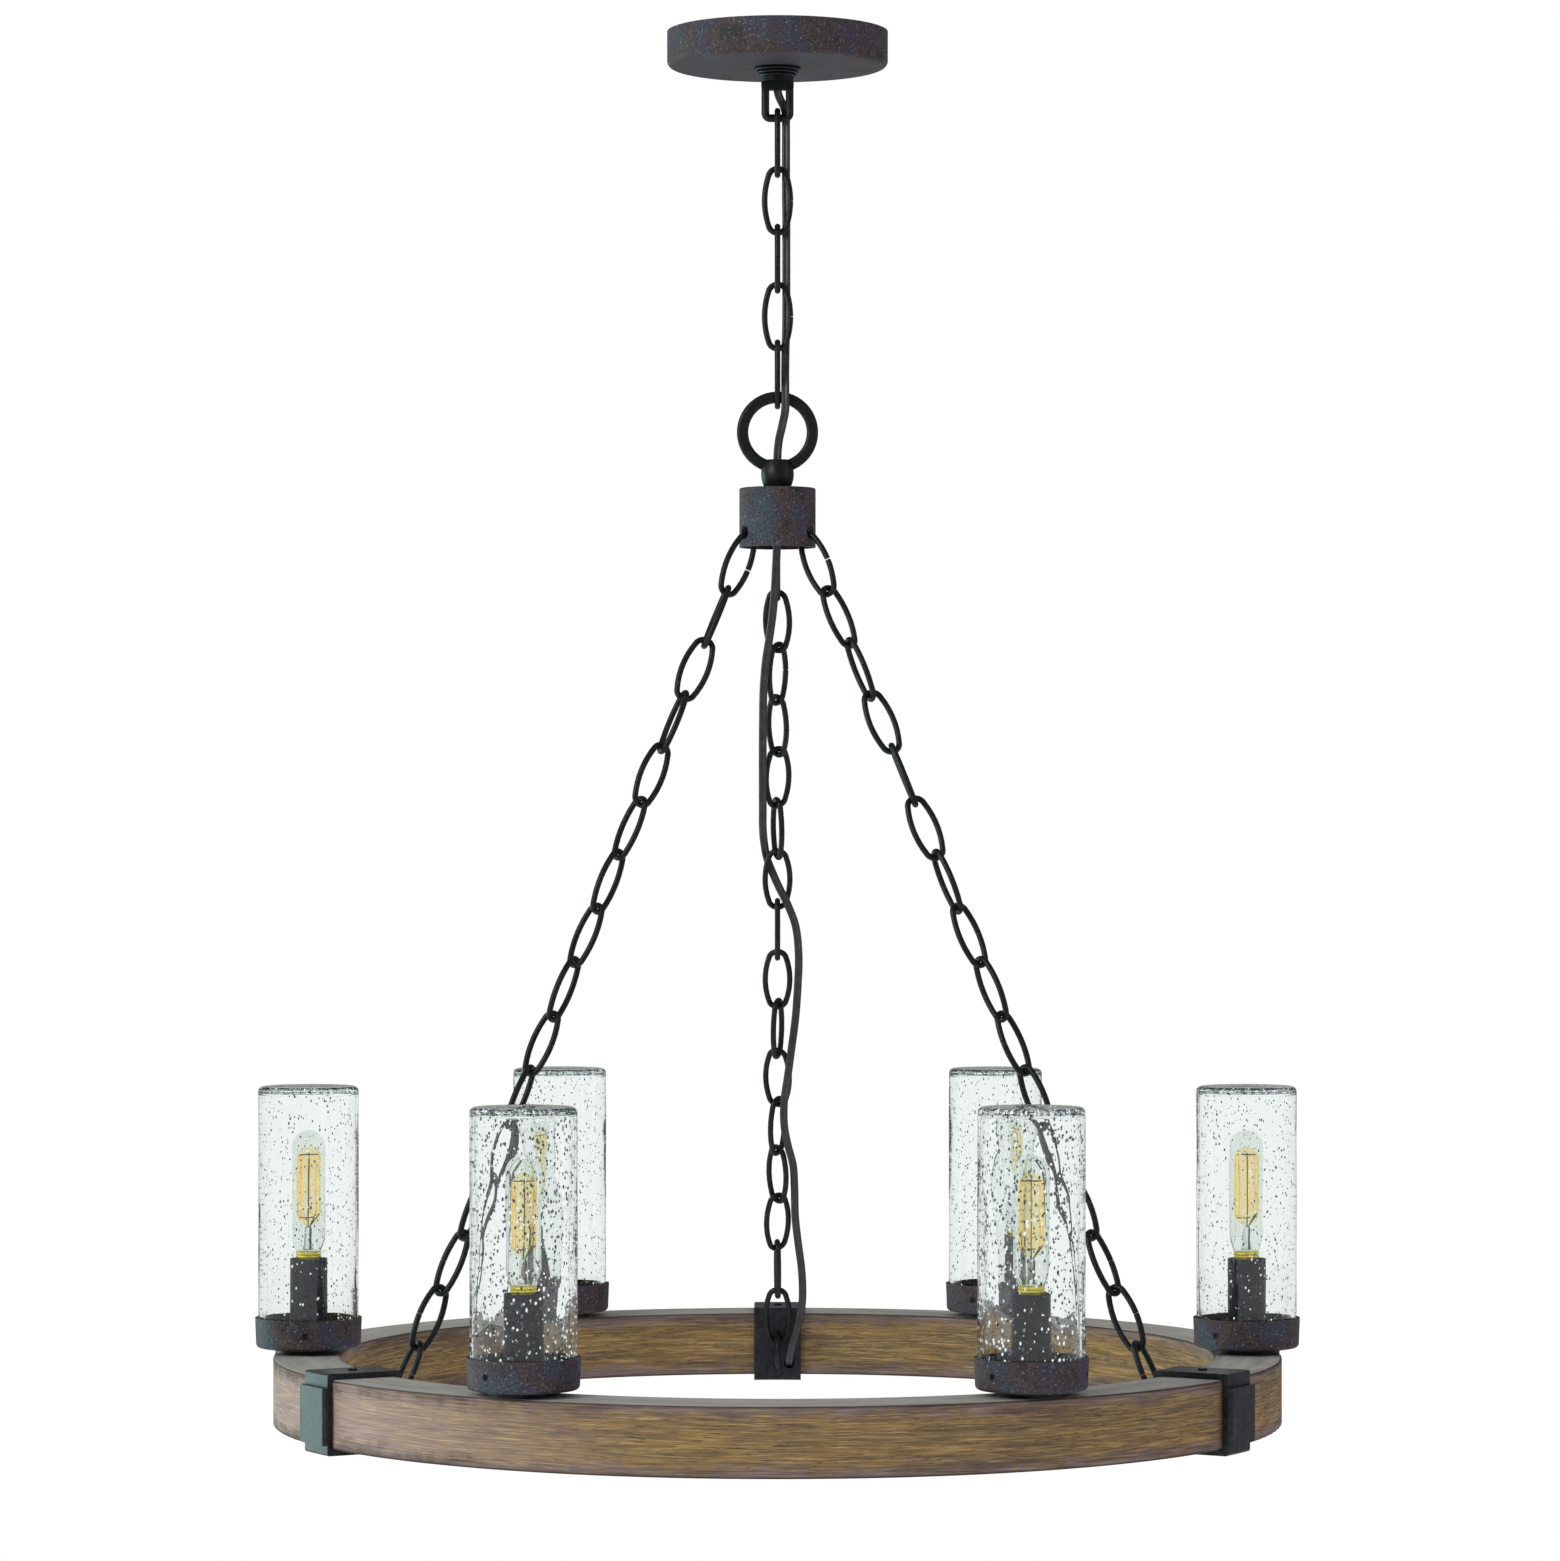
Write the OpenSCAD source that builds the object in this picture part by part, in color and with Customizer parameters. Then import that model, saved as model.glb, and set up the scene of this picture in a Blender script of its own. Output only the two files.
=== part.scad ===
// Six-light ring chandelier: canopy, open link chain, hub, three chain legs,
// wood-look ring with wrap straps, and six closed glass cylinders over tubular bulbs.
// Millimetres. Origin at the ceiling plane on the axis, +Z up, -Y is the viewed side.

/* [Ceiling canopy] */
// Outer diameter of the canopy
canopy_d = 140; // [120:1:160]
// Height of the canopy
canopy_h = 22.5; // [21:0.5:30]
// Sheet thickness of the canopy
canopy_wall = 1.2; // [0.8:0.1:1.6]
// Radius of the canopy's lower outer edge
canopy_edge_r = 4; // [2:0.5:6]
// Metal left past each slot of the mounting bar
bar_end = 2.6; // [2:0.1:6]
// Width of the mounting bar
bar_w = 18; // [16:1:22]
// Thickness of the mounting bar
bar_t = 2; // [1.5:0.1:2.5]
// Spacing of the bar's two ceiling box slots
box_spacing = 88.9; // [80:0.1:90]
// End to end length of a slot
slot_l = 12; // [8:1:14]
// Width of a slot
slot_w = 4.8; // [4.2:0.1:5.4]
// Diameter of the neck of the hanging loop
neck_d = 20.4; // [19:0.1:22]
// Length of the neck that shows under the canopy
neck_below = 9; // [8:0.5:12]
// Outer diameter of the screw collar
collar_d = 29.6; // [27:0.1:33]
// Height of the screw collar
collar_h = 5.7; // [5:0.1:7]
// Outer width of the hanging loop
loop_w = 20.4; // [19:0.1:22]
// Outer height of the hanging loop
loop_h = 25.6; // [24:0.1:30]
// Wire diameter of the hanging loop
loop_wire = 5; // [4.2:0.1:5.4]
// Height of the hanging loop's top bar
loop_bar_h = 5.4; // [5:0.1:6.5]

/* [Chain] */
// Outer length of a link
link_l = 44.4; // [40:0.1:50]
// Outer width of a link
link_w = 20; // [18:0.5:23]
// Wire diameter of a link
link_wire = 3.7; // [3:0.1:4]
// Radius of the wire's centreline at a link's end
link_end_r = 5.8; // [5.4:0.1:6.4]
// Opening in the side of the links that were opened to hang them in
link_split = 1.3; // [0.6:0.1:2]
// Opening in the side of the other links
link_seam = 0.4; // [0.3:0.1:0.6]
// Links between the hanging loop and the ring over the hub, always odd
upper_links = 5; // [3:2:9]

/* [Hanging ring and hub] */
// Outer diameter of the hanging ring
hang_d = 51.6; // [48:0.1:56]
// Radial width of the hanging ring
hang_w = 7.3; // [6:0.1:8]
// Thickness of the hanging ring
hang_t = 5.2; // [4.5:0.1:5.5]
// Diameter of the ball that holds the hanging ring
ball_d = 20.8; // [20:0.1:24]
// Height of the ball between its flats
ball_h = 18; // [16:0.1:19]
// Diameter of the ball's flats
ball_flat_d = 16; // [14:0.1:17]
// Height of the ball's upper flat over the ring's lowest inner point
ball_over = 1; // [0.8:0.1:3]
// Outer diameter of the hub
hub_d = 48.4; // [46:0.1:56]
// Height of the hub
hub_h = 37.6; // [36:0.1:48]
// Wall of the hub
hub_wall = 2.5; // [2:0.1:3]
// Diameter of the chain holes in the hub
hub_hole_d = 8.4; // [8:0.1:9]
// Strip of wall left under a chain hole
hub_strip = 5; // [4:0.1:6]

/* [Wood ring] */
// Outer diameter of the ring
ring_d = 636.8; // [600:1:680]
// Radial width of the ring's section
ring_w = 42; // [40:0.5:48]
// Height of the ring's section
ring_h = 42; // [40:0.5:50]
// Wall of the ring
ring_wall = 5; // [4:0.5:6]
// Radius of the ring's long edges
ring_edge_r = 1.2; // [0.5:0.1:2]
// Thickness of the cover under the ring
cover_t = 3; // [2:0.5:4]

/* [Straps] */
// Width of a strap
strap_w = 32; // [28:1:36]
// Thickness of a strap
strap_t = 3.4; // [2.5:0.1:4]
// Width of the block on a strap's outer side
buckle_w = 35.5; // [32:0.5:42]
// Height of the block
buckle_h = 34.5; // [30:0.5:38]
// Thickness of the block
buckle_t = 3; // [2:0.5:5]
// Wire diameter of a chain eye
eye_wire = 4.2; // [3.6:0.1:4.4]
// Radius of a chain eye's centreline
eye_r = 11.2; // [10.4:0.1:12]
// Depth of a chain eye's centre under the ring's top
eye_drop = 25.3; // [22:0.1:28]

/* [Lights] */
// Number of lights
lights = 6; // [6:1:6]
// Diameter of the pedestal under a cup
pedestal_d = 42; // [36:0.5:42]
// Height of the pedestal
pedestal_h = 3.4; // [2:0.1:5]
// Outer diameter of a cup at its rim
cup_d = 67.4; // [64:0.1:74]
// Height of a cup
cup_h = 19; // [17:0.5:24]
// Wall of a cup
cup_wall = 1.5; // [1.2:0.1:2]
// Thickness of a cup's floor
cup_floor = 1.8; // [1.5:0.1:2.5]
// Radius of a cup's lower edge
cup_edge_r = 2.8; // [2:0.1:4]
// Height of a glass shade over the cup's rim
shade_over = 146.4; // [136:0.1:160]
// Wall of a glass shade
shade_wall = 2.6; // [2:0.1:3.5]
// Thickness of a glass shade's closed top
shade_top = 4; // [3:0.1:5]
// Outer diameter of a candle sleeve
sleeve_d = 23.5; // [23:0.1:25]
// Height of a sleeve's top over the cup's rim
sleeve_over = 37.3; // [34:0.1:40]
// Wall of a sleeve
sleeve_wall = 0.9; // [0.7:0.1:1]
// Diameter of a bulb's glass
bulb_d = 21.2; // [19:0.1:23]
// Length of a bulb's glass
bulb_l = 76.8; // [70:0.1:80]
// Diameter of a bulb's screw cap
cap_d = 14; // [13.6:0.1:14.2]
// Diameter of the skirt over the screw cap
skirt_d = 16.6; // [16:0.1:18]
// Height of the skirt
skirt_h = 4.1; // [3:0.1:5]
// Diameter of a glass clamping screw
set_screw_d = 4; // [3:0.1:4]

/* [Cord] */
// Width of the flat twin cord
cord_w = 5.2; // [5:0.1:5.6]
// Thickness of the flat twin cord
cord_t = 2.6; // [2.4:0.1:2.8]

/* [Hidden] */
$fn = 48;

// Gap between seated pieces, and a hair that makes cuts run clear
gap = 0.3;
eps = 0.01;
fit = 0.1;

// Threaded tubes, their nuts and small screws
tube_d = 9.6;
tube_bore = 7;
nut_af = 14;
nut_h = 3.6;
nut_d = nut_af / cos(30);
screw_d = 3.2;
screw_head_d = 6;
screw_head_h = 1.2;

// Mounting bar and its earth screw
bar_l = box_spacing + slot_l + 2 * bar_end;
ground_x = 18.5;
ground_head_h = 1.8;
ground_reach = 4;

// Colours
iron = [0.27, 0.28, 0.31];
black = [0.13, 0.14, 0.15];
charcoal = [0.20, 0.24, 0.24];
oak = [0.60, 0.50, 0.37];
zinc = [0.68, 0.69, 0.70];
brass = [0.79, 0.65, 0.22];
clear_glass = [0.82, 0.90, 0.90, 0.35];
phenolic = [0.12, 0.12, 0.12];
slate = [0.18, 0.19, 0.23];
cord_brown = [0.16, 0.13, 0.15];
ground_green = [0.15, 0.45, 0.22];

// Heights from the ceiling down to the hanging loop
nut_top = -bar_t - gap;
neck_top = nut_top - 2 * nut_h - 2 * gap;
neck_end = -canopy_h - neck_below;
nipple_over = 2.8;
nipple_end = -canopy_h + nipple_over;
loop_end = neck_end - loop_h;
bar_axis_z = loop_end + loop_wire / 2;
collar_wall = 1.4;
loop_bar_t = 5.6;
loop_bar_r = 2.4;
loop_corner_r = 3;
loop_lip = 0.2;
loop_turned_d = 20.7;

// Links: centreline half length and half width, and the side arc that joins the end arcs
link_a = (link_l - link_wire) / 2;
link_b = (link_w - link_wire) / 2;
side_r = (link_b * link_b + (link_a - link_end_r) * (link_a - link_end_r) - link_end_r * link_end_r)
    / (2 * (link_b - link_end_r));
end_angle = atan2(side_r - link_b, link_a - link_end_r);
link_c = 2 * link_a;
join_lap = 0.3;
join_hair = 0.06;
pitch = link_c - link_wire - gap;
chain_top = bar_axis_z + loop_wire / 2 + gap + link_wire / 2;
chain_end = chain_top - (upper_links - 1) * pitch - link_c;
pivot_low_z = chain_top - link_c;

// Hanging ring, ball and hub
hang_r = hang_d / 2;
hang_in = hang_r - hang_w;
hang_z = chain_end + link_wire / 2 + gap - hang_in;
ball_top = hang_z - hang_in + ball_over;
ball_bulge = (ball_d - ball_flat_d) / 2;
ball_side_r = (ball_h * ball_h / 4 + ball_bulge * ball_bulge) / (2 * ball_bulge);
hub_top = ball_top - ball_h;
hub_end = hub_top - hub_h;
hub_nipple_top = hang_z - hang_r - gap;
tube_past_nut = 2;
hub_nipple_end = hub_top - hub_wall - gap - nut_h - tube_past_nut;

// Ring section
ring_r = ring_d / 2;
ring_in = ring_r - ring_w;
ring_mid = (ring_r + ring_in) / 2;
strap_in = ring_in - gap - strap_t;
strap_out = ring_r + gap + strap_t;

// Chain legs: from the arc centre of a first link's end to the centre of its eye
leg_links = 16;
leg_top_r = hub_d / 2 - hub_wall / 2;
corner_reach = link_end_r - link_wire / 2 - gap;
leg_top_z = hub_end + hub_strip - sqrt(corner_reach * corner_reach - hub_wall * hub_wall / 4);
leg_span = (leg_links - 1) * pitch + link_c + eye_r - (eye_wire + link_wire) / 2 - gap - link_end_r;
leg_dr = strap_in - leg_top_r;
leg_dz = sqrt(leg_span * leg_span - leg_dr * leg_dr);
leg_tilt = atan2(leg_dr, leg_dz);
eye_z = leg_top_z - leg_dz;
ring_top = eye_z + eye_drop;
ring_bot = ring_top - ring_h;
ring_mid_z = ring_top - ring_h / 2;
strap_edge_r = 1.5;
buckle_edge_r = 2.5;
buckle_low = 1;
harness_d = 2.6;
harness_in = 5;
cord_hole_x = 8;
cord_hole_drop = 34.2;
cord_hole_d = 7;
hang_edge_r = 2;
cover_screw_turn = 15;
screw_past = 2;
echo(ring_top = ring_top, leg_tilt = leg_tilt, hub_end = hub_end, hang_z = hang_z);
echo(chain_top = chain_top, bar_axis_z = bar_axis_z, pivot_low_z = pivot_low_z);
echo(eye_z = eye_z, leg_top_z = leg_top_z);

// How each link of a leg is turned about the leg, hand chosen to look as the photographed chain does
left_rolls = [90, -20, 60, -10, 95, 10, -65, 15, -60, 20, -50, 35, -55, 15, -80, 0];
right_rolls = [90, -20, 50, -40, 30, -40, 50, -20, 65, -15, 70, -15, 75, -10, 85, 0];
back_rolls = [90, -20, 50, -45, 25, -70, 0, 90, 0, 70, -15, 55, -45, 25, 95, 0];
left_az = 210;
right_az = 330;
back_az = 90;
legs = [back_az, left_az, right_az];

// Lights
light_az = [0, 60, 120, 180, 240, 300];
cup_screw_az = [229, 240, 250, 271, 231, 224];
cup_bot = ring_top + pedestal_h;
cup_rim = cup_bot + cup_h;
cup_in = cup_d / 2 - cup_wall;
floor_z = cup_bot + cup_floor;
cup_taper = 0.6;
shade_r = cup_in - gap;
shade_bot = floor_z + gap;
shade_end = cup_rim + shade_over;
shade_edge_r = 3.5;
shade_in_r = 2.5;
shade_foot_r = 1;
sleeve_top = cup_rim + sleeve_over;
socket_d = sleeve_d - 2 * sleeve_wall - 2 * gap;
socket_below = 2.2;
socket_top = sleeve_top - socket_below;
socket_bore = 6;
cap_z = sleeve_top + gap;
cap_l = 21.5;
cap_tip = 1.2;
stem_end = ring_top - ring_wall - gap - nut_h - 3;
glass_z = cap_z + skirt_h;
bulb_wall = 0.8;
bulb_neck_h = 6;
cage_r = 6.8;
cage_z0 = glass_z + 21.2;
cage_z1 = glass_z + 61.3;
cage_wire = 0.6;
cage_n = 8;
cage_lap = 0.15;
cage_hair = 0.02;
hook_wire = 0.4;
bead_d = 3;
stem_rod_d = 1.4;
stem_d0 = 7;
stem_d1 = 4.5;
stem_h = 16;
cap_tip_d = 5;
neck_in = 0.4;
cup_foot_r = 1;
cup_lip_h = 1;
screw_sunk = 0.4;
hex_af = 2;
hex_floor = 0.6;

// Points along the cord's middle, all round numbers, with heights from the ceiling down.
// Neighbouring pieces meet in a stretch that runs straight down, so that their ends are the same.
top_route = [
    [0, 0, -1], [0, 0, -13], [0, 0, -25], [0, 0, -35], [0.2, 0.2, -38], [1.5, 1.3, -42],
    [3.9, 3.5, -46.5], [5.4, 5, -52], [5.4, 5, -56]
];
link_route = [
    [5.4, 5, -56], [5.4, 5, -60], [5.4, 4.6, -70], [5.4, 4.2, -80], [5.4, 4.2, -91]
];
upper_route = [
    [5.4, 4.2, -91], [5.4, 4.2, -104], [5.6, 4.2, -118], [5.6, 4.2, -132], [5.6, 4.2, -146],
    [5.6, 4.2, -160], [5.6, 4.2, -174], [5.5, 4.2, -187], [5.2, 4.2, -198], [5, 2.8, -206],
    [4.9, -1, -214], [4.9, -4.6, -222], [4.9, -6.2, -230], [4.9, -6.2, -240], [3.2, -4.4, -249],
    [0.9, -1.3, -259], [0, 0, -268], [0, 0, -276]
];
leg_route = [
    [0, 0, -276], [0, 0, -287], [0, 0, -300], [0, 2, -313], [-0.4, 7, -326], [-1, 14, -339],
    [-1.8, 22, -353], [-3, 30, -367], [-5, 38, -381.5], [-7.5, 45.5, -397.5], [-9, 54.5, -415.5],
    [-9.4, 64, -433.5], [-9.6, 73, -454], [-9.6, 83, -474], [-9.6, 93, -491], [-9.6, 103.5, -504],
    [-8.8, 113, -514], [-7, 120, -524], [-3, 122.5, -534.5], [1.5, 121.5, -544.5],
    [6.5, 122.5, -554.5], [12, 130, -569.5], [14, 141, -588.5], [13.5, 152, -608.5],
    [12, 161, -630], [9.5, 167.5, -650], [7, 174.5, -669], [4.5, 182.5, -687], [4.5, 190.5, -703.5],
    [7, 199, -717.5], [10.5, 207.5, -731.5], [11.5, 217, -747.5], [12, 228, -767.5],
    [14, 237, -786], [16.5, 246, -806], [17, 252.5, -826], [14.5, 255.5, -842], [10.5, 258, -856],
    [8, 262.5, -866.5], [8, 270, -871], [8, 277, -871.5], [8, 284, -871.5]
];
// Plain vectors
function unit(v) = v / norm(v);
// Degrees of arc that a length takes on a radius
function turn(len, r) = len / r * 180 / PI;
function held(p, i) = p[max(0, min(len(p) - 1, i))];
function heading(p, i) = unit(held(p, i + 1) - held(p, i - 1));

// Flat twin cord swept along a route as one closed polyhedron of eight-sided rings
module flat_cord(p) {
    sides = 8;
    points = [for (i = [0 : len(p) - 1])
        let (t = heading(p, i), across = unit([1, 0, 0] - t[0] * t), through = cross(t, across))
        for (k = [0 : sides - 1])
            let (a = 360 * (k + 0.5) / sides)
            p[i] + cord_w / 2 * cos(a) / cos(180 / sides) * across
                + cord_t / 2 * sin(a) / cos(180 / sides) * through];
    last = len(p) - 1;
    polyhedron(points, concat(
        [[for (k = [sides - 1 : -1 : 0]) k]],
        [for (i = [0 : last - 1]) for (k = [0 : sides - 1])
            [i * sides + k, i * sides + (k + 1) % sides, (i + 1) * sides + (k + 1) % sides]],
        [for (i = [0 : last - 1]) for (k = [0 : sides - 1])
            [i * sides + k, (i + 1) * sides + (k + 1) % sides, (i + 1) * sides + k]],
        [[for (k = [0 : sides - 1]) last * sides + k]]));
}

// Profiles for revolved pieces
module box2(x0, x1, y0, y1) {
    translate([x0, y0]) square([x1 - x0, y1 - y0]);
}

module round_box2(x0, x1, y0, y1, r) {
    box2(x0 + r, x1 - r, y0, y1);
    box2(x0, x1, y0 + r, y1 - r);
    for (x = [x0 + r, x1 - r])
        for (y = [y0 + r, y1 - r])
            translate([x, y]) circle(r);
}

// A solid of revolution that is rounded on one outer edge only: the lower or the upper one
module edge_box2(x1, y0, y1, r, low) {
    box2(0, x1 - r, y0, y1);
    box2(0, x1, low ? y0 + r : y0, low ? y1 : y1 - r);
    translate([x1 - r, low ? y0 + r : y1 - r]) circle(r);
}

module hex_nut(z, bore) {
    translate([0, 0, z - nut_h])
        difference() {
            cylinder(d = nut_d, h = nut_h, $fn = 6);
            translate([0, 0, -1]) cylinder(d = bore, h = nut_h + 2);
        }
}

module tube(z0, z1, d, bore) {
    translate([0, 0, z0])
        difference() {
            cylinder(d = d, h = z1 - z0);
            translate([0, 0, -1]) cylinder(d = bore, h = z1 - z0 + 2);
        }
}

// Ceiling mount

module mounting_bar() {
    color(zinc)
        translate([0, 0, -bar_t])
        difference() {
            translate([-bar_l / 2, -bar_w / 2, 0]) cube([bar_l, bar_w, bar_t]);
            translate([0, 0, -1]) cylinder(d = tube_d + 2 * fit, h = bar_t + 2);
            for (s = [-1, 1])
                translate([s * box_spacing / 2, 0, -1]) slot_cut();
            translate([ground_x, 0, -1]) cylinder(d = screw_d + 2 * fit, h = bar_t + 2);
        }
}

module slot_cut() {
    run = (slot_l - slot_w) / 2;
    translate([-run, -slot_w / 2, 0]) cube([2 * run, slot_w, bar_t + 2]);
    for (s = [-1, 1])
        translate([s * run, 0, 0]) cylinder(d = slot_w, h = bar_t + 2);
}

module ground_screw() {
    color(ground_green)
        translate([ground_x, 0, -bar_t]) {
            translate([0, 0, -ground_reach]) cylinder(d = screw_d, h = bar_t + ground_reach - gap);
            translate([0, 0, -gap - ground_head_h]) cylinder(d = screw_head_d, h = ground_head_h);
        }
}

module nipple() {
    color(zinc) tube(nipple_end, -gap, tube_d, tube_bore);
}

module nipple_nuts() {
    color(zinc) {
        hex_nut(nut_top, tube_d + 2 * fit);
        hex_nut(nut_top - nut_h - gap, tube_d + 2 * fit);
    }
}

// A bent wire under a flat bar, on a neck that the threaded tube screws into.
// The bar's ends are turned down so that the canopy and its collar slide over them.
module hang_loop() {
    color(black)
        difference() {
            union() {
                translate([0, 0, neck_end]) cylinder(d = neck_d, h = neck_top - neck_end);
                intersection() {
                    translate([0, loop_bar_t / 2, 0]) rotate([90, 0, 0])
                        linear_extrude(loop_bar_t)
                        round_box2(-loop_w / 2 - loop_lip, loop_w / 2 + loop_lip,
                            neck_end - loop_bar_h, neck_end + 1, loop_bar_r);
                    translate([0, 0, neck_end - loop_bar_h - 1]) cylinder(d = loop_turned_d, h = loop_bar_h + 3);
                }
                loop_wire_u();
            }
            translate([0, 0, nipple_end - gap]) cylinder(d = tube_d + 2 * fit, h = neck_top - nipple_end + 1);
            translate([0, 0, neck_end - loop_bar_h - 1]) cord_slot(nipple_end - neck_end + loop_bar_h + 1);
        }
}

// The wire's two uprights, lower corners and lower bar, standing in the XZ plane
module loop_wire_u() {
    x = (loop_w - loop_wire) / 2;
    translate([0, 0, bar_axis_z]) {
        translate([loop_corner_r - x, 0, 0]) rotate([0, 90, 0])
            cylinder(d = loop_wire, h = 2 * (x - loop_corner_r));
        for (s = [-1, 1])
            translate([s * x, 0, loop_corner_r])
                cylinder(d = loop_wire, h = loop_h - loop_corner_r - (loop_wire + loop_bar_h) / 2);
        rotate([90, 0, 0]) {
            translate([loop_corner_r - x, loop_corner_r, 0]) arc_wire(loop_corner_r, loop_wire, 180, 90);
            translate([x - loop_corner_r, loop_corner_r, 0]) arc_wire(loop_corner_r, loop_wire, 270, 90);
        }
    }
}

// Round wire bent round the Z axis through an angle
module arc_wire(r, wire, start, angle) {
    rotate([0, 0, start])
        rotate_extrude(angle = angle) translate([r, 0]) circle(d = wire);
}

// Canopy and its collar

module canopy() {
    color(iron)
        rotate_extrude($fn = 96)
        difference() {
            edge_box2(canopy_d / 2, -canopy_h, 0, canopy_edge_r, true);
            edge_box2(canopy_d / 2 - canopy_wall, canopy_wall - canopy_h, 1,
                canopy_edge_r - canopy_wall, true);
            box2(-1, neck_d / 2 + gap, -canopy_h - 1, 0);
        }
}

module screw_collar() {
    ridge = collar_h / 3;
    in = neck_d / 2 + gap;
    step = (collar_d / 2 - in - collar_wall) / 2;
    color(black)
        translate([0, 0, -canopy_h - gap - collar_h])
        rotate_extrude()
        for (k = [0 : 2])
            box2(in, collar_d / 2 - (2 - k) * step, k * ridge, (k + 1) * ridge);
}

// Chain

// One open link: long axis along -Z from its top apex, width along Y, open on one side.
// Its two end bends are a hair thicker, and the long side bends lap into them.
module link(side, opening) {
    reach = 90 - end_angle + turn(join_lap, side_r);
    from_split = turn(opening / 2, side_r);
    color(black)
        translate([0, 0, -link_a])
        rotate([90, 0, 90]) {
            for (s = [0, 180])
                rotate([0, 0, s])
                    translate([0, link_a - link_end_r, 0])
                    arc_wire(link_end_r, link_wire + join_hair, 90 - end_angle, 2 * end_angle);
            rotate([0, 0, side > 0 ? 180 : 0])
                translate([link_b - side_r, 0, 0])
                arc_wire(side_r, link_wire, -reach, 2 * reach);
            rotate([0, 0, side > 0 ? 0 : 180])
                translate([link_b - side_r, 0, 0]) {
                    arc_wire(side_r, link_wire, -reach, reach - from_split);
                    arc_wire(side_r, link_wire, from_split, reach - from_split);
                }
        }
}

// Every third link lies with its opening on the other side
function split_side(k) = k % 3 == 1 ? -1 : 1;
function opening(k, opened) = k == opened ? link_split : link_seam;

module top_link() {
    translate([0, 0, chain_top]) link(-1, link_split);
}

module upper_chain() {
    last = upper_links - 1;
    for (k = [1 : last])
        translate([0, 0, chain_top - k * pitch]) rotate([0, 0, 90 * k])
            link(k == last ? -1 : split_side(k), opening(k, last));
}

module leg_chain(az, rolls, way, opened) {
    rotate([0, 0, az])
        translate([leg_top_r, 0, leg_top_z])
        rotate([0, -leg_tilt, 0])
        for (k = [0 : leg_links - 1])
            translate([0, 0, link_end_r - k * pitch]) rotate([0, 0, rolls[k]])
                link(way * split_side(k), opening(k, opened));
}

module leg_chain_left() {
    leg_chain(left_az, left_rolls, 1, 0);
}

module leg_chain_right() {
    leg_chain(right_az, right_rolls, -1, 0);
}

module leg_chain_back() {
    leg_chain(back_az, back_rolls, -1, 2);
}

// Hanging ring, ball and hub

module hang_section(grow) {
    round_box2(hang_in - grow, hang_r + grow, -hang_t / 2 - grow, hang_t / 2 + grow, hang_edge_r);
}

module hanging_ring() {
    color(black)
        difference() {
            translate([0, 0, hang_z]) rotate([90, 0, 0])
                rotate_extrude($fn = 96) hang_section(0);
            translate([0, 0, ball_top - ball_h]) cord_slot(ball_h);
        }
}

// The way for the cord through the ring's lowest point
module cord_slot(h) {
    w = cord_w + 2 * gap;
    t = cord_t + 2 * gap;
    translate([-(w - t) / 2, -t / 2, 0]) cube([w - t, t, h]);
    for (s = [-1, 1])
        translate([s * (w - t) / 2, 0, 0]) cylinder(d = t, h = h);
}

// A ball with two flats, let over the hanging ring's lowest part
module neck_ball() {
    color(black)
        difference() {
            translate([0, 0, ball_top - ball_h / 2])
                rotate_extrude()
                intersection() {
                    translate([ball_d / 2 - ball_side_r, 0]) circle(ball_side_r, $fn = 180);
                    box2(0, ball_d, -ball_h / 2, ball_h / 2);
                }
            translate([0, 0, hang_z]) rotate([90, 0, 0])
                rotate_extrude($fn = 96) hang_section(fit);
            translate([0, 0, hub_top - 1]) cord_slot(ball_h + 2);
            translate([0, 0, hub_top - 1]) cylinder(d = tube_d + 2 * fit, h = hub_nipple_top - hub_top + 1 + gap);
        }
}

module hub() {
    color(iron)
        difference() {
            translate([0, 0, hub_end])
                rotate_extrude($fn = 96)
                difference() {
                    edge_box2(hub_d / 2, 0, hub_h, 1, false);
                    box2(-1, hub_d / 2 - hub_wall, -1, hub_h - hub_wall);
                    box2(-1, tube_d / 2 + fit, -1, hub_h + 1);
                }
            for (az = legs)
                rotate([0, 0, az])
                    translate([hub_d / 2 - hub_wall - 2, 0, hub_end + hub_strip + hub_hole_d / 2])
                    rotate([0, 90, 0]) cylinder(d = hub_hole_d, h = hub_wall + 4);
        }
}

module hub_nipple() {
    color(zinc) tube(hub_nipple_end, hub_nipple_top, tube_d, tube_bore);
}

module hub_nut() {
    color(zinc) hex_nut(hub_top - hub_wall - gap, tube_d + 2 * fit);
}

// Wood ring

module ring_body() {
    color(oak)
        difference() {
            translate([0, 0, ring_bot])
                rotate_extrude($fn = 180)
                difference() {
                    round_box2(ring_in, ring_r, 0, ring_h, ring_edge_r);
                    box2(ring_in + ring_wall, ring_r - ring_wall, -1, ring_h - ring_wall);
                }
            for (az = light_az)
                rotate([0, 0, az]) translate([ring_mid, 0, ring_top - ring_wall - 1])
                    cylinder(d = tube_d + 2 * gap, h = ring_wall + 2);
            for (az = legs)
                rotate([0, 0, az]) translate([ring_mid, 0, ring_top - ring_wall - 1])
                    cylinder(d = screw_d + 2 * fit, h = ring_wall + 2);
            cord_bore();
        }
}

// Where the cord goes through the back strap and the ring's inner wall
module cord_bore() {
    translate([cord_hole_x, strap_in - 2, ring_top - cord_hole_drop])
        rotate([-90, 0, 0]) cylinder(d = cord_hole_d, h = strap_t + ring_wall + 4);
}

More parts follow.
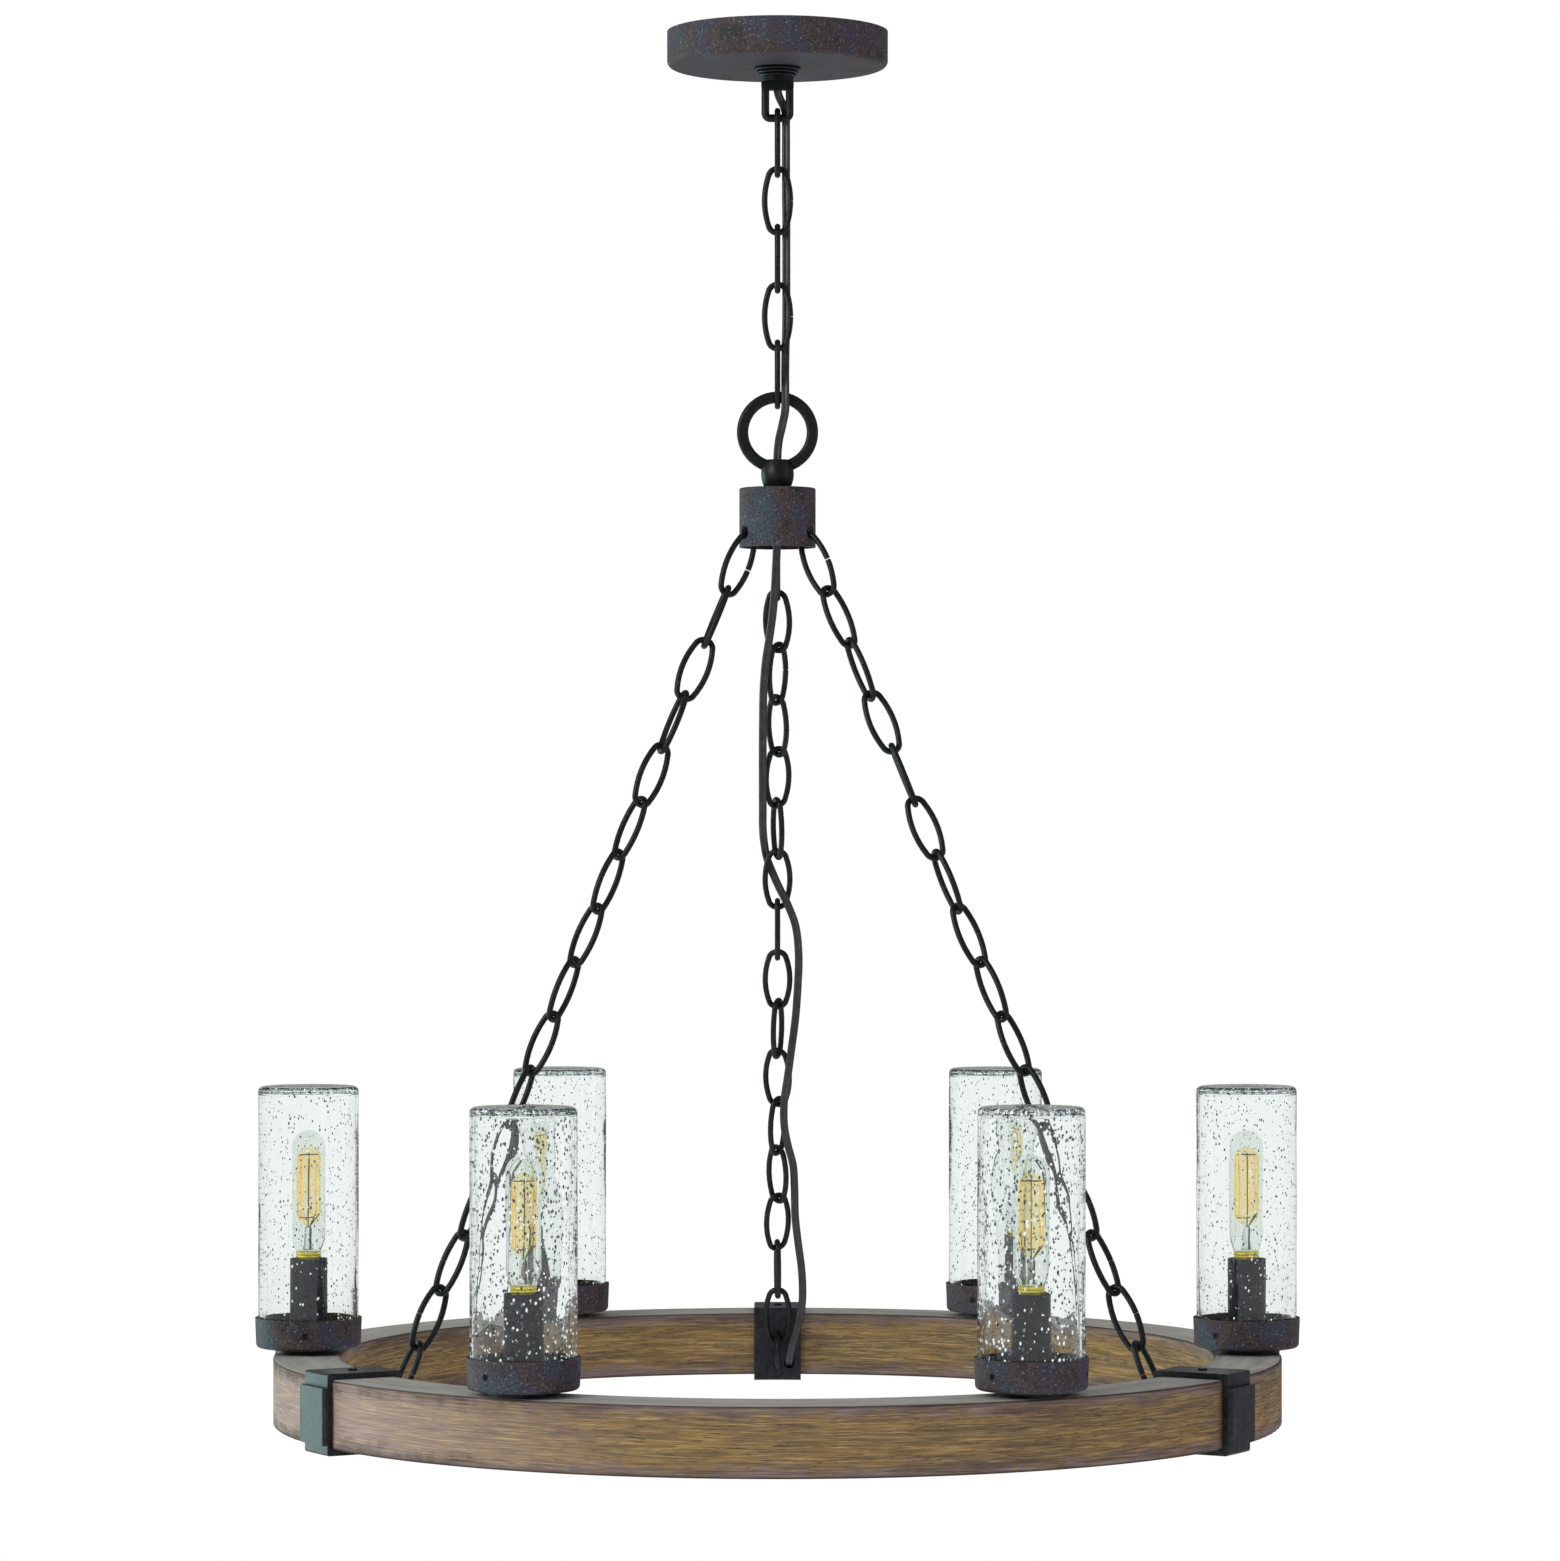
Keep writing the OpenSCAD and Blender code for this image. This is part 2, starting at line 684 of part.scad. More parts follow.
module ring_cover() {
    color(oak)
        difference() {
            translate([0, 0, ring_bot])
                rotate_extrude($fn = 180)
                box2(ring_in + ring_wall + gap, ring_r - ring_wall - gap, 0, cover_t);
            cover_screw_places() translate([0, 0, -1]) cylinder(d = screw_d + 2 * fit, h = cover_t + 2);
        }
}

module cover_screw_places() {
    for (az = light_az)
        rotate([0, 0, az + cover_screw_turn]) translate([ring_mid, 0, ring_bot]) children();
}

module cover_screws() {
    color(zinc)
        cover_screw_places() {
            translate([0, 0, -screw_head_h]) cylinder(d = screw_head_d, h = screw_head_h);
            cylinder(d = screw_d, h = cover_t + screw_past);
        }
}

module harness() {
    color(cord_brown)
        translate([0, 0, ring_bot + cover_t + gap + harness_d / 2])
        rotate_extrude($fn = 180)
        translate([ring_in + ring_wall + harness_in, 0]) circle(d = harness_d);
}

// Straps

// A band that wraps the ring's section, cut parallel to its radius
module strap(az, holed) {
    h = strap_t + gap;
    color(charcoal)
        difference() {
            intersection() {
                rotate_extrude($fn = 180)
                    difference() {
                        round_box2(strap_in, strap_out, ring_bot - h, ring_top + h, strap_edge_r);
                        box2(ring_in - gap, ring_r + gap, ring_bot - gap, ring_top + gap);
                    }
                rotate([0, 0, az])
                    translate([strap_in - 10, -strap_w / 2, ring_bot - 20])
                    cube([ring_w + 40, strap_w, ring_h + 40]);
            }
            rotate([0, 0, az]) translate([ring_mid, 0, ring_top])
                cylinder(d = screw_d + 2 * fit, h = 20);
            if (holed) cord_bore();
        }
}

module strap_left() {
    strap(left_az, false);
}

module strap_right() {
    strap(right_az, false);
}

module strap_back() {
    strap(back_az, true);
}

module buckles() {
    r = buckle_edge_r;
    sunk = strap_out - strap_t;
    color(charcoal)
        for (az = legs)
            rotate([0, 0, az])
            difference() {
                translate([0, 0, ring_mid_z - buckle_low - buckle_h / 2])
                    linear_extrude(buckle_h) {
                        box2(sunk, strap_out + buckle_t - r, -buckle_w / 2, buckle_w / 2);
                        box2(sunk, strap_out + buckle_t, r - buckle_w / 2, buckle_w / 2 - r);
                        for (s = [-1, 1])
                            translate([strap_out + buckle_t - r, s * (buckle_w / 2 - r)]) circle(r);
                    }
                translate([0, 0, ring_bot]) cylinder(r = strap_out, h = ring_h, $fn = 720);
            }
}

module chain_eyes() {
    color(black)
        for (az = legs)
            rotate([0, 0, az])
            translate([strap_in, 0, eye_z])
            rotate([90, 0, 0])
            arc_wire(eye_r, eye_wire, 90, 180);
}

module strap_screws() {
    color(black)
        for (az = legs)
            rotate([0, 0, az]) translate([ring_mid, 0, ring_top + gap + strap_t]) {
                cylinder(d = screw_head_d, h = screw_head_h);
                translate([0, 0, -strap_t - ring_wall - screw_past])
                    cylinder(d = screw_d, h = strap_t + ring_wall + screw_past + screw_head_h / 2);
            }
}

// Lights

module at_light(i) {
    rotate([0, 0, light_az[i]]) translate([ring_mid, 0, 0]) children();
}

module pedestals() {
    color(black)
        for (i = [0 : lights - 1])
            at_light(i) tube(ring_top, cup_bot, pedestal_d, tube_d + 2 * gap);
}

module cup(i) {
    r0 = cup_d / 2 - cup_taper;
    color(iron)
        difference() {
            at_light(i)
                translate([0, 0, cup_bot])
                rotate_extrude($fn = 96)
                difference() {
                    union() {
                        polygon([
                            [0, cup_edge_r], [r0, cup_edge_r], [cup_d / 2, cup_h - cup_lip_h],
                            [cup_d / 2, cup_h], [0, cup_h]
                        ]);
                        box2(0, r0 - cup_edge_r, 0, cup_edge_r);
                        translate([r0 - cup_edge_r, cup_edge_r]) circle(cup_edge_r);
                    }
                    edge_box2(cup_in, cup_floor, cup_h + 1, cup_foot_r, true);
                    box2(-1, tube_d / 2 + gap, -1, cup_h);
                }
            set_screw_places(i) cylinder(d = set_screw_d + 2 * fit, h = cup_wall + 2);
        }
}

module set_screw_places(i) {
    for (k = [0 : 2])
        at_light(i) rotate([0, 0, cup_screw_az[i] - light_az[i] + 120 * k])
            translate([shade_r, 0, cup_bot + cup_h / 2]) rotate([0, 90, 0]) children();
}

module set_screws() {
    color(black)
        for (i = [0 : lights - 1])
            set_screw_places(i)
                translate([0, 0, gap])
                difference() {
                    cylinder(d = set_screw_d, h = cup_wall - screw_sunk);
                    translate([0, 0, hex_floor]) cylinder(d = hex_af / cos(30), h = cup_wall, $fn = 6);
                }
}

module sockets() {
    color(phenolic)
        for (i = [0 : lights - 1])
            at_light(i)
            difference() {
                union() {
                    translate([0, 0, floor_z]) cylinder(d = socket_d, h = socket_top - floor_z);
                    translate([0, 0, stem_end]) cylinder(d = tube_d, h = floor_z - stem_end + 1);
                }
                translate([0, 0, cap_z - cap_l - cap_tip - gap])
                    cylinder(d = cap_d + 2 * gap, h = cap_l + cap_tip + 2);
                translate([0, 0, stem_end - 1]) cylinder(d = socket_bore, h = floor_z - stem_end + 6);
            }
}

module socket_nuts() {
    color(zinc)
        for (i = [0 : lights - 1])
            at_light(i) hex_nut(ring_top - ring_wall - gap, tube_d + 2 * fit);
}

module sleeves() {
    color(slate)
        for (i = [0 : lights - 1])
            at_light(i) tube(floor_z, sleeve_top, sleeve_d, sleeve_d - 2 * sleeve_wall);
}

module shade(i) {
    color(clear_glass)
        at_light(i)
        rotate_extrude($fn = 96)
        difference() {
            union() {
                edge_box2(shade_r, shade_bot + shade_foot_r, shade_end, shade_edge_r, false);
                edge_box2(shade_r, shade_bot, shade_end - 2 * shade_edge_r, shade_foot_r, true);
            }
            edge_box2(shade_r - shade_wall, shade_bot - 1, shade_end - shade_top, shade_in_r, false);
        }
}

// The inside or the outside of a bulb's glass: a neck, a straight wall and a round end
module bulb_outline(r, neck_r, z0, z1) {
    intersection() {
        union() {
            polygon([[0, z0], [neck_r, z0], [r, z0 + bulb_neck_h], [0, z0 + bulb_neck_h]]);
            box2(0, r, z0 + bulb_neck_h, z1 - r);
            translate([0, z1 - r]) circle(r);
        }
        box2(0, r + 1, z0, z1 + 1);
    }
}

module bulb_glass(i) {
    r = bulb_d / 2;
    neck_r = skirt_d / 2 - neck_in;
    color(clear_glass)
        at_light(i)
        rotate_extrude()
        difference() {
            bulb_outline(r, neck_r, glass_z, glass_z + bulb_l);
            bulb_outline(r - bulb_wall, neck_r - bulb_wall, glass_z - eps, glass_z + bulb_l - bulb_wall);
        }
}

// Screw cap, skirt, glass stem and one long filament that runs up and down between hooks
module bulb_base(i) {
    foot = cap_z - cap_l;
    bend = cage_r * sin(180 / cage_n);
    hook_r = cage_r * cos(180 / cage_n);
    color(brass)
        at_light(i) {
            translate([0, 0, foot]) cylinder(d = cap_d, h = cap_l + 0.5);
            translate([0, 0, foot - cap_tip]) cylinder(d = cap_tip_d, h = cap_tip + 0.5);
            translate([0, 0, cap_z]) cylinder(d = skirt_d, h = skirt_h);
            translate([0, 0, glass_z - 0.5]) cylinder(d1 = stem_d0, d2 = stem_d1, h = stem_h + 0.5);
            translate([0, 0, glass_z + stem_h - 1]) cylinder(d = stem_rod_d, h = cage_z1 - glass_z - stem_h + 1);
            for (z = [cage_z0, cage_z1])
                translate([0, 0, z]) sphere(d = bead_d);
            for (k = [0 : cage_n - 1])
                rotate([0, 0, 360 * k / cage_n]) translate([cage_r, 0, cage_z0 + bend - cage_lap])
                    cylinder(d = cage_wire, h = cage_z1 - cage_z0 - 2 * (bend - cage_lap));
            for (k = [0 : cage_n - 2])
                rotate([0, 0, 360 * (k + 0.5) / cage_n]) {
                    z = k % 2 == 0 ? cage_z1 : cage_z0;
                    translate([hook_r, 0, k % 2 == 0 ? z - bend : z + bend]) rotate([90, 0, 90])
                        arc_wire(bend, cage_wire + cage_hair, k % 2 == 0 ? 0 : 180, 180);
                    translate([bead_d / 3, 0, z]) rotate([0, 90, 0])
                        cylinder(d = hook_wire, h = hook_r - bead_d / 3);
                }
            for (k = [0, cage_n - 1])
                rotate([0, 0, 360 * k / cage_n]) translate([stem_rod_d / 3, 0, cage_z0 + bend + 1])
                    rotate([0, 90, 0]) cylinder(d = hook_wire, h = cage_r - stem_rod_d / 3);
        }
}

module cord_top() {
    color(cord_brown) flat_cord(top_route);
}

module cord_link() {
    color(cord_brown) flat_cord(link_route);
}

module cord_upper() {
    color(cord_brown) flat_cord(upper_route);
}

module cord_leg() {
    color(cord_brown) flat_cord(leg_route);
}

mounting_bar();
ground_screw();
nipple();
nipple_nuts();
hang_loop();
cord_top();
canopy();
screw_collar();
top_link();
cord_link();
upper_chain();
hanging_ring();
neck_ball();
hub();
hub_nipple();
hub_nut();
leg_chain_left();
leg_chain_right();
leg_chain_back();
cord_upper();
cord_leg();
ring_body();
ring_cover();
cover_screws();
harness();
strap_left();
strap_right();
strap_back();
buckles();
chain_eyes();
strap_screws();
pedestals();
sleeves();
sockets();
socket_nuts();
set_screws();
cup(0);  // cup_1
cup(1);  // cup_2
cup(2);  // cup_3
cup(3);  // cup_4
cup(4);  // cup_5
cup(5);  // cup_6
shade(0);  // shade_1
shade(1);  // shade_2
shade(2);  // shade_3
shade(3);  // shade_4
shade(4);  // shade_5
shade(5);  // shade_6
bulb_glass(0);  // bulb_glass_1
bulb_glass(1);  // bulb_glass_2
bulb_glass(2);  // bulb_glass_3
bulb_glass(3);  // bulb_glass_4
bulb_glass(4);  // bulb_glass_5
bulb_glass(5);  // bulb_glass_6
bulb_base(0);  // bulb_base_1
bulb_base(1);  // bulb_base_2
bulb_base(2);  // bulb_base_3
bulb_base(3);  // bulb_base_4
bulb_base(4);  // bulb_base_5
bulb_base(5);  // bulb_base_6
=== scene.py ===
# %% [markdown]
# # Dressing a six-light ring chandelier
# The chandelier comes to us as a imported model: every chain link, screw and cup is already at its
# real size and place. This notebook gives it its looks. We set up the camera and the cords first,
# then a small kit of helpers, then one finish after another, and at last the glass, the bulbs and
# the screw collar. Everything is in metres, with the ceiling at height 0 and the chandelier's axis
# on the Z axis.

# %% Load the imported model
import math

import bpy
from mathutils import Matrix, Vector, noise


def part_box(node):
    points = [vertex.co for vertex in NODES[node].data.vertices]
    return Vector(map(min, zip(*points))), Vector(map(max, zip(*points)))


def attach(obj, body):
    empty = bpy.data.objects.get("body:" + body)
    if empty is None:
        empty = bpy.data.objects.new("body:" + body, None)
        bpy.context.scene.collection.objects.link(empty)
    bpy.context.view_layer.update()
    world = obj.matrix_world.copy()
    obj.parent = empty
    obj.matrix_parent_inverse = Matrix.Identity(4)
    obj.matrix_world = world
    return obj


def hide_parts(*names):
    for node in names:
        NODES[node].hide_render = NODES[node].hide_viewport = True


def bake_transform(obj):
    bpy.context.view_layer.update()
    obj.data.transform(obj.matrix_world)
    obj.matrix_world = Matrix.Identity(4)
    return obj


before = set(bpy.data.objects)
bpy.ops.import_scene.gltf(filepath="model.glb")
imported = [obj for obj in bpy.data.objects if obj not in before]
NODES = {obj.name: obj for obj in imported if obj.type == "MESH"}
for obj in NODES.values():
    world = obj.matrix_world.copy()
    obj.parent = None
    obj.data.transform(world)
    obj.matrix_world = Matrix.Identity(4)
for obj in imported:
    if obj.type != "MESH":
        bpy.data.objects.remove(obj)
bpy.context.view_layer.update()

MM = 0.001

# %% [markdown]
# ## The camera
# A product photographer shoots a chandelier from far away with a long lens, level with its middle,
# so that the chains stay straight. The lens is level, and the picture is only shifted up and down,
# as with a view camera. The focal length in pixels, the axis, the horizon and the eye's place were
# fitted to the ring's ellipse and to the six glasses.

# %% Set up the camera
PHOTO_W, PHOTO_H = 1560, 1561
FOCAL_PX = 5300
AXIS_X_PX = 777.5
HORIZON_Y_PX = 835
EYE_DISTANCE = 3.361
EYE_OVER_RING = 0.328
SENSOR_MM = 36

ring_low, ring_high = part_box("ring_body")
ring_top = ring_high.z
lens = bpy.data.cameras.new("camera")
lens.sensor_width = SENSOR_MM
lens.lens = SENSOR_MM * FOCAL_PX / PHOTO_H
lens.shift_x = (PHOTO_W / 2 - AXIS_X_PX) / PHOTO_H
lens.shift_y = (HORIZON_Y_PX - PHOTO_H / 2) / PHOTO_H
camera = bpy.data.objects.new("camera", lens)
camera.location = (0, -EYE_DISTANCE, ring_top + EYE_OVER_RING)
camera.rotation_euler = (math.pi / 2, 0, 0)
bpy.context.scene.collection.objects.link(camera)
bpy.context.scene.camera = camera
print("lens", round(lens.lens, 1), "mm, eye at", tuple(round(c, 3) for c in camera.location))

# %% [markdown]
# ## From points to a piece
# Most pieces here are made of plain lists of points and faces, so one small function turns such
# lists into an object. It leaves the object at the origin and keeps the piece's place in its mesh,
# shades the round faces smooth, and keeps edges that turn sharply crisp.

# %% A helper that makes a piece from points and faces
CRISP = math.radians(40)


def link_to_scene(thing):
    bpy.context.scene.collection.objects.link(thing)
    return thing


def piece_from(name, points, faces):
    mesh = bpy.data.meshes.new(name)
    mesh.from_pydata([tuple(p) for p in points], [], faces)
    mesh.shade_smooth()
    mesh.set_sharp_from_angle(angle=CRISP)
    return link_to_scene(bpy.data.objects.new(name, mesh))


# %% [markdown]
# ## Turned pieces
# Glass, caps and collars are all round, so they can be turned from an outline, as on a lathe.
# Blender's Screw modifier does that too. Our own helper closes the poles with plain triangles, and
# lets each point of a wall move in a little, which blown glass needs.

# %% Helpers that turn an outline round a vertical axis
LARGE, MEDIUM, SMALL = 96, 48, 32  # flats in a full turn, for large, medium and small pieces


def spin(name, outline, centre=(0, 0), steps=LARGE, shape=None, ring=False):
    """A solid of revolution. outline lists (radius, height) from one point on the axis to the
    other, with the outer side coming down. For a ring the outline closes on itself instead.
    shape(turn, radius, height) may change a radius, for glass that isn't quite true."""
    points, rings, faces = [], [], []
    for radius, height in outline:
        count = steps if radius > 0 else 1
        rings.append(range(len(points), len(points) + count))
        for k in range(count):
            turn = math.tau * k / steps
            r = shape(turn, radius, height) if shape and radius > 0 else radius
            points.append((centre[0] + r * math.cos(turn), centre[1] + r * math.sin(turn), height))
    for a, b in zip(rings, rings[1:] + rings[:1] if ring else rings[1:]):
        for k in range(steps):
            corners = (a[k % len(a)], b[k % len(b)], b[(k + 1) % len(b)], a[(k + 1) % len(a)])
            faces.append(tuple(dict.fromkeys(corners)))
    return piece_from(name, points, faces)


def bend(centre_r, centre_z, radius, start, end, steps=6):
    """Points on an arc of an outline, with angles in degrees from the outward direction."""
    turns = [math.radians(start + (end - start) * k / steps) for k in range(steps + 1)]
    return [(centre_r + radius * math.cos(t), centre_z + radius * math.sin(t)) for t in turns]


# %% [markdown]
# ## The cord
# The lamp cord is a flat twin cord, 5.2 mm wide: two round cores side by side with a groove
# between. It leaves the hanging loop, runs beside the chain, goes through the ball and the hub,
# and then follows the back chain down to a hole in the back strap. A curve with a bevel would make
# a round cord, so we sweep the outline of the two cores along the route ourselves.
#
# The chain swings on the hanging loop, and again one link lower. The cord bends at both places, so
# it is made as three pieces: one across the upper swing, one across the lower, and one that hangs
# below.

# %% The cord's route, in millimetres under the ceiling
CORD_DOWN = [
    (0, 0, -1), (0, 0, -13), (0, 0, -25), (0, 0, -35), (0.2, 0.2, -38), (1.5, 1.3, -42),
    (3.9, 3.5, -46.5), (5.4, 5, -52), (5.4, 5, -56), (5.4, 5, -60), (5.4, 4.6, -70),
    (5.4, 4.2, -80), (5.4, 4.2, -91), (5.4, 4.2, -104), (5.6, 4.2, -118), (5.6, 4.2, -132),
    (5.6, 4.2, -146), (5.6, 4.2, -160), (5.6, 4.2, -174), (5.5, 4.2, -187), (5.2, 4.2, -198),
    (5, 2.8, -206), (4.9, -1, -214), (4.9, -4.6, -222), (4.9, -6.2, -230), (4.9, -6.2, -240),
    (3.2, -4.4, -249), (0.9, -1.3, -259), (0, 0, -268), (0, 0, -276),
]
CORD_LEG = [
    (0, 0, -276), (0, 0, -287), (0, 0, -300), (0, 2, -313), (-0.4, 7, -326), (-1, 14, -339),
    (-1.8, 22, -353), (-3, 30, -367), (-5, 38, -381.5), (-7.5, 45.5, -397.5), (-9, 54.5, -415.5),
    (-9.4, 64, -433.5), (-9.6, 73, -454), (-9.6, 83, -474), (-9.6, 93, -491), (-9.6, 103.5, -504),
    (-8.8, 113, -514), (-7, 120, -524), (-3, 122.5, -534.5), (1.5, 121.5, -544.5),
    (6.5, 122.5, -554.5), (12, 130, -569.5), (14, 141, -588.5), (13.5, 152, -608.5),
    (12, 161, -630), (9.5, 167.5, -650), (7, 174.5, -669), (4.5, 182.5, -687),
    (4.5, 190.5, -703.5), (7, 199, -717.5), (10.5, 207.5, -731.5), (11.5, 217, -747.5),
    (12, 228, -767.5), (14, 237, -786), (16.5, 246, -806), (17, 252.5, -826), (14.5, 255.5, -842),
    (10.5, 258, -856), (8, 262.5, -866.5), (8, 270, -871), (8, 277, -871.5), (8, 284, -871.5),
]
CORD_WIDTH = 5.2 * MM
CORE_R = CORD_WIDTH / 4
CORE_ARC = range(-125, 126, 25)  # degrees round the outer side of a core
GROOVE_HALF = 0.8 * MM
STEPS = 7  # steps from one point of the route to the next
print(len(CORD_DOWN), "points down the chain and", len(CORD_LEG), "down the back leg")

# %% Smooth the route and sweep the two cores along it


def smooth_route(points):
    """A Catmull-Rom curve through the points, in metres."""
    p = [Vector(q) * MM for q in points]
    p = [p[0]] + p + [p[-1]]
    path = []
    for a, b, c, d in zip(p, p[1:], p[2:], p[3:]):
        for k in range(STEPS):
            t = k / STEPS
            path.append((2 * b + (c - a) * t + (2 * a - 5 * b + 4 * c - d) * t * t
                         + (3 * b - a - 3 * c + d) * t ** 3) / 2)
    return path + [p[-1]]


def twin_outline():
    """The outline of two touching cores, as (across, through) pairs."""
    turns = [math.radians(degrees) for degrees in CORE_ARC]
    right = [(CORE_R * (1 + math.cos(t)), CORE_R * math.sin(t)) for t in turns]
    left = [(-x, -y) for x, y in right]
    return right + [(0, GROOVE_HALF)] + left + [(0, -GROOVE_HALF)]


def sweep(name, path, outline):
    """A closed tube with that outline along the path. The outline's first axis stays near X."""
    points, n = [], len(outline)
    for i, here in enumerate(path):
        ahead = (path[min(i + 1, len(path) - 1)] - path[max(i - 1, 0)]).normalized()
        across = (Vector((1, 0, 0)) - ahead.x * ahead).normalized()
        through = ahead.cross(across)
        points += [here + x * across + y * through for x, y in outline]
    faces = [(i * n + k, i * n + (k + 1) % n, (i + 1) * n + (k + 1) % n, (i + 1) * n + k)
             for i in range(len(path) - 1) for k in range(n)]
    faces += [tuple(range(n))[::-1], tuple(range((len(path) - 1) * n, len(path) * n))]
    return piece_from(name, points, faces)


# %% Make the three pieces of cord
UPPER_SWING = (-0.045, -0.065)  # between these heights the cord bends with the first link
LOWER_SWING = (-0.079, -0.105)  # and between these with the rest of the chain
UPPER_CUT = 10 * STEPS  # where the first piece ends, between the two

down = smooth_route(CORD_DOWN)
leg = smooth_route(CORD_LEG)
cord_paths = {
    "cord_canopy": down[:UPPER_CUT + 1],
    "cord_chain": down[UPPER_CUT:],
    "cord_back_leg": leg,
}
cords = {name: sweep(name, path, twin_outline()) for name, path in cord_paths.items()}
for name, (body_a, body_b), (start, end) in (
    ("cord_canopy", ("ceiling_mount", "top_link_body"), UPPER_SWING),
    ("cord_chain", ("top_link_body", "fixture"), LOWER_SWING),
):
    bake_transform(cords[name])
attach(cords["cord_back_leg"], "fixture")
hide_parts("cord_top", "cord_link")
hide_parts("cord_upper")
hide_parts("cord_leg")

# %% [markdown]
# ## A helper for node trees
# Worlds, materials and Geometry Nodes are all trees of nodes. Adding and linking them takes two
# lines each, so one helper does both: it takes a node's kind, what goes into its sockets, and its
# settings.

# %% Helpers that add nodes to any tree


def add(tree, kind, inputs=None, **settings):
    """Adds one node. Each socket in inputs gets a value, another socket or a node's first output."""
    node = tree.nodes.new(kind)
    for key, value in settings.items():
        setattr(node, key, value)
    for key, value in (inputs or {}).items():
        if isinstance(value, bpy.types.Node):
            value = value.outputs[0]
        if isinstance(value, bpy.types.NodeSocket):
            tree.links.new(value, node.inputs[key])
        else:
            node.inputs[key].default_value = value
    return node


def times(tree, a, b):
    return add(tree, "ShaderNodeMath", {0: a, 1: b}, operation="MULTIPLY")


def seen_directly(tree):
    """1 for rays from the camera and through glass, and 0 for the rest."""
    path = add(tree, "ShaderNodeLightPath").outputs
    return add(tree, "ShaderNodeMath", {0: path["Is Camera Ray"], 1: path["Is Transmission Ray"]},
               operation="MAXIMUM")


# %% [markdown]
# ## The white world
# The photograph has a pure white ground. A world that shines as white as that on the metals would
# wash them out, so its strength depends on the ray: white for the camera and through glass, a
# softer grey for everything that it lights, and darker still in reflections.

# %% The world and its softer light
WHITE = (1, 1, 1, 1)
WORLD_LEVEL = 0.62
MIRROR_LEVEL = 0.26
MOST_BOUNCES = 24  # a look through two shades and a bulb crosses some sixteen faces

world = bpy.data.worlds.new("white studio")
world.use_nodes = True
bpy.context.scene.world = world
sky = world.node_tree
sky.nodes.clear()
mirrored = add(sky, "ShaderNodeLightPath").outputs["Is Glossy Ray"]
dim = add(sky, "ShaderNodeMapRange",
          {"Value": mirrored, "To Min": WORLD_LEVEL, "To Max": MIRROR_LEVEL})
level = add(sky, "ShaderNodeMapRange", {"Value": seen_directly(sky), "To Min": dim, "To Max": 1.0})
ground = add(sky, "ShaderNodeBackground", {"Color": WHITE, "Strength": level})
add(sky, "ShaderNodeOutputWorld", {"Surface": ground})
bpy.context.scene.view_settings.view_transform = "Standard"
bpy.context.scene.cycles.max_bounces = MOST_BOUNCES
bpy.context.scene.cycles.transmission_bounces = MOST_BOUNCES
print("the world lights at", WORLD_LEVEL, "and is mirrored at", MIRROR_LEVEL)

# %% [markdown]
# ## Three soft boxes
# The light in the photograph is soft: a main one from the left that is a little cold, and a weak
# violet one from the right. A third soft box, behind on the left, gives the straps and cups the
# teal sheen that their left sides have there. The camera doesn't see the lamps, also not through
# the glass.

# %% Hang the soft boxes
MIDDLE = Vector((0, 0, ring_top / 2))


def soft_box(name, place, size, level, colour):
    """A square lamp aimed at the middle. level is how bright it makes a white card there: a card
    that faces the lamp from a distance sends back energy / (pi * distance) ** 2."""
    lamp = bpy.data.lights.new(name, "AREA")
    aim = MIDDLE - Vector(place)
    lamp.size = size
    lamp.color = colour
    lamp.energy = level * math.pi ** 2 * aim.length_squared
    holder = link_to_scene(bpy.data.objects.new(name, lamp))
    holder.location = place
    holder.rotation_euler = aim.to_track_quat("-Z", "Y").to_euler()
    holder.visible_camera = False
    holder.visible_transmission = False
    print(name, round(lamp.energy), "W")
    return holder


soft_box("key light", (-2.6, -2.4, 0.9), 1.4, 0.52, (0.95, 1.0, 0.98))
rim_light = soft_box("rim light", (-3.0, 1.6, -0.7), 1.8, 0.36, (0.66, 1.0, 0.93))
soft_box("fill light", (2.8, -1.2, 0.2), 1.6, 0.15, (0.74, 0.70, 1.0))

# %% [markdown]
# ## The floor
# A plain pale disc lies well below the chandelier and takes its shadow. Its edge would cut the
# white ground in two, so its finish turns from a lit, matt surface into plain white towards the
# rim, but only for rays that look at it directly: the light that it throws up stays real.

# %% Make the floor and its fading finish
FLOOR_DROP = 1.05
FLOOR_R = 5.0
FADE = (1.0, 2.6)  # from here to here, in metres from the middle, the floor turns white
PALE = (0.93, 0.93, 0.93, 1)

turns = [math.tau * k / LARGE for k in range(LARGE)]
rim = [(FLOOR_R * math.cos(t), FLOOR_R * math.sin(t), ring_top - FLOOR_DROP) for t in turns]
floor = piece_from("floor", rim, [tuple(range(LARGE))])
floor_finish = bpy.data.materials.new("pale floor")
floor_finish.use_nodes = True
tree = floor_finish.node_tree
tree.nodes.clear()
place = add(tree, "ShaderNodeTexCoord").outputs["Object"]
away = add(tree, "ShaderNodeVectorMath", {0: place, 1: (1, 1, 0)}, operation="MULTIPLY")
reach = add(tree, "ShaderNodeVectorMath", {0: away}, operation="LENGTH").outputs["Value"]
fade = add(tree, "ShaderNodeMapRange", {"Value": reach, "From Min": FADE[0], "From Max": FADE[1]})
open_white = times(tree, fade, seen_directly(tree))
pale = add(tree, "ShaderNodeBsdfDiffuse", {"Color": PALE})
glow = add(tree, "ShaderNodeEmission", {"Color": WHITE, "Strength": 1})
cover = add(tree, "ShaderNodeMixShader", {0: open_white, 1: pale, 2: glow})
add(tree, "ShaderNodeOutputMaterial", {"Surface": cover})
floor.data.materials.append(floor_finish)
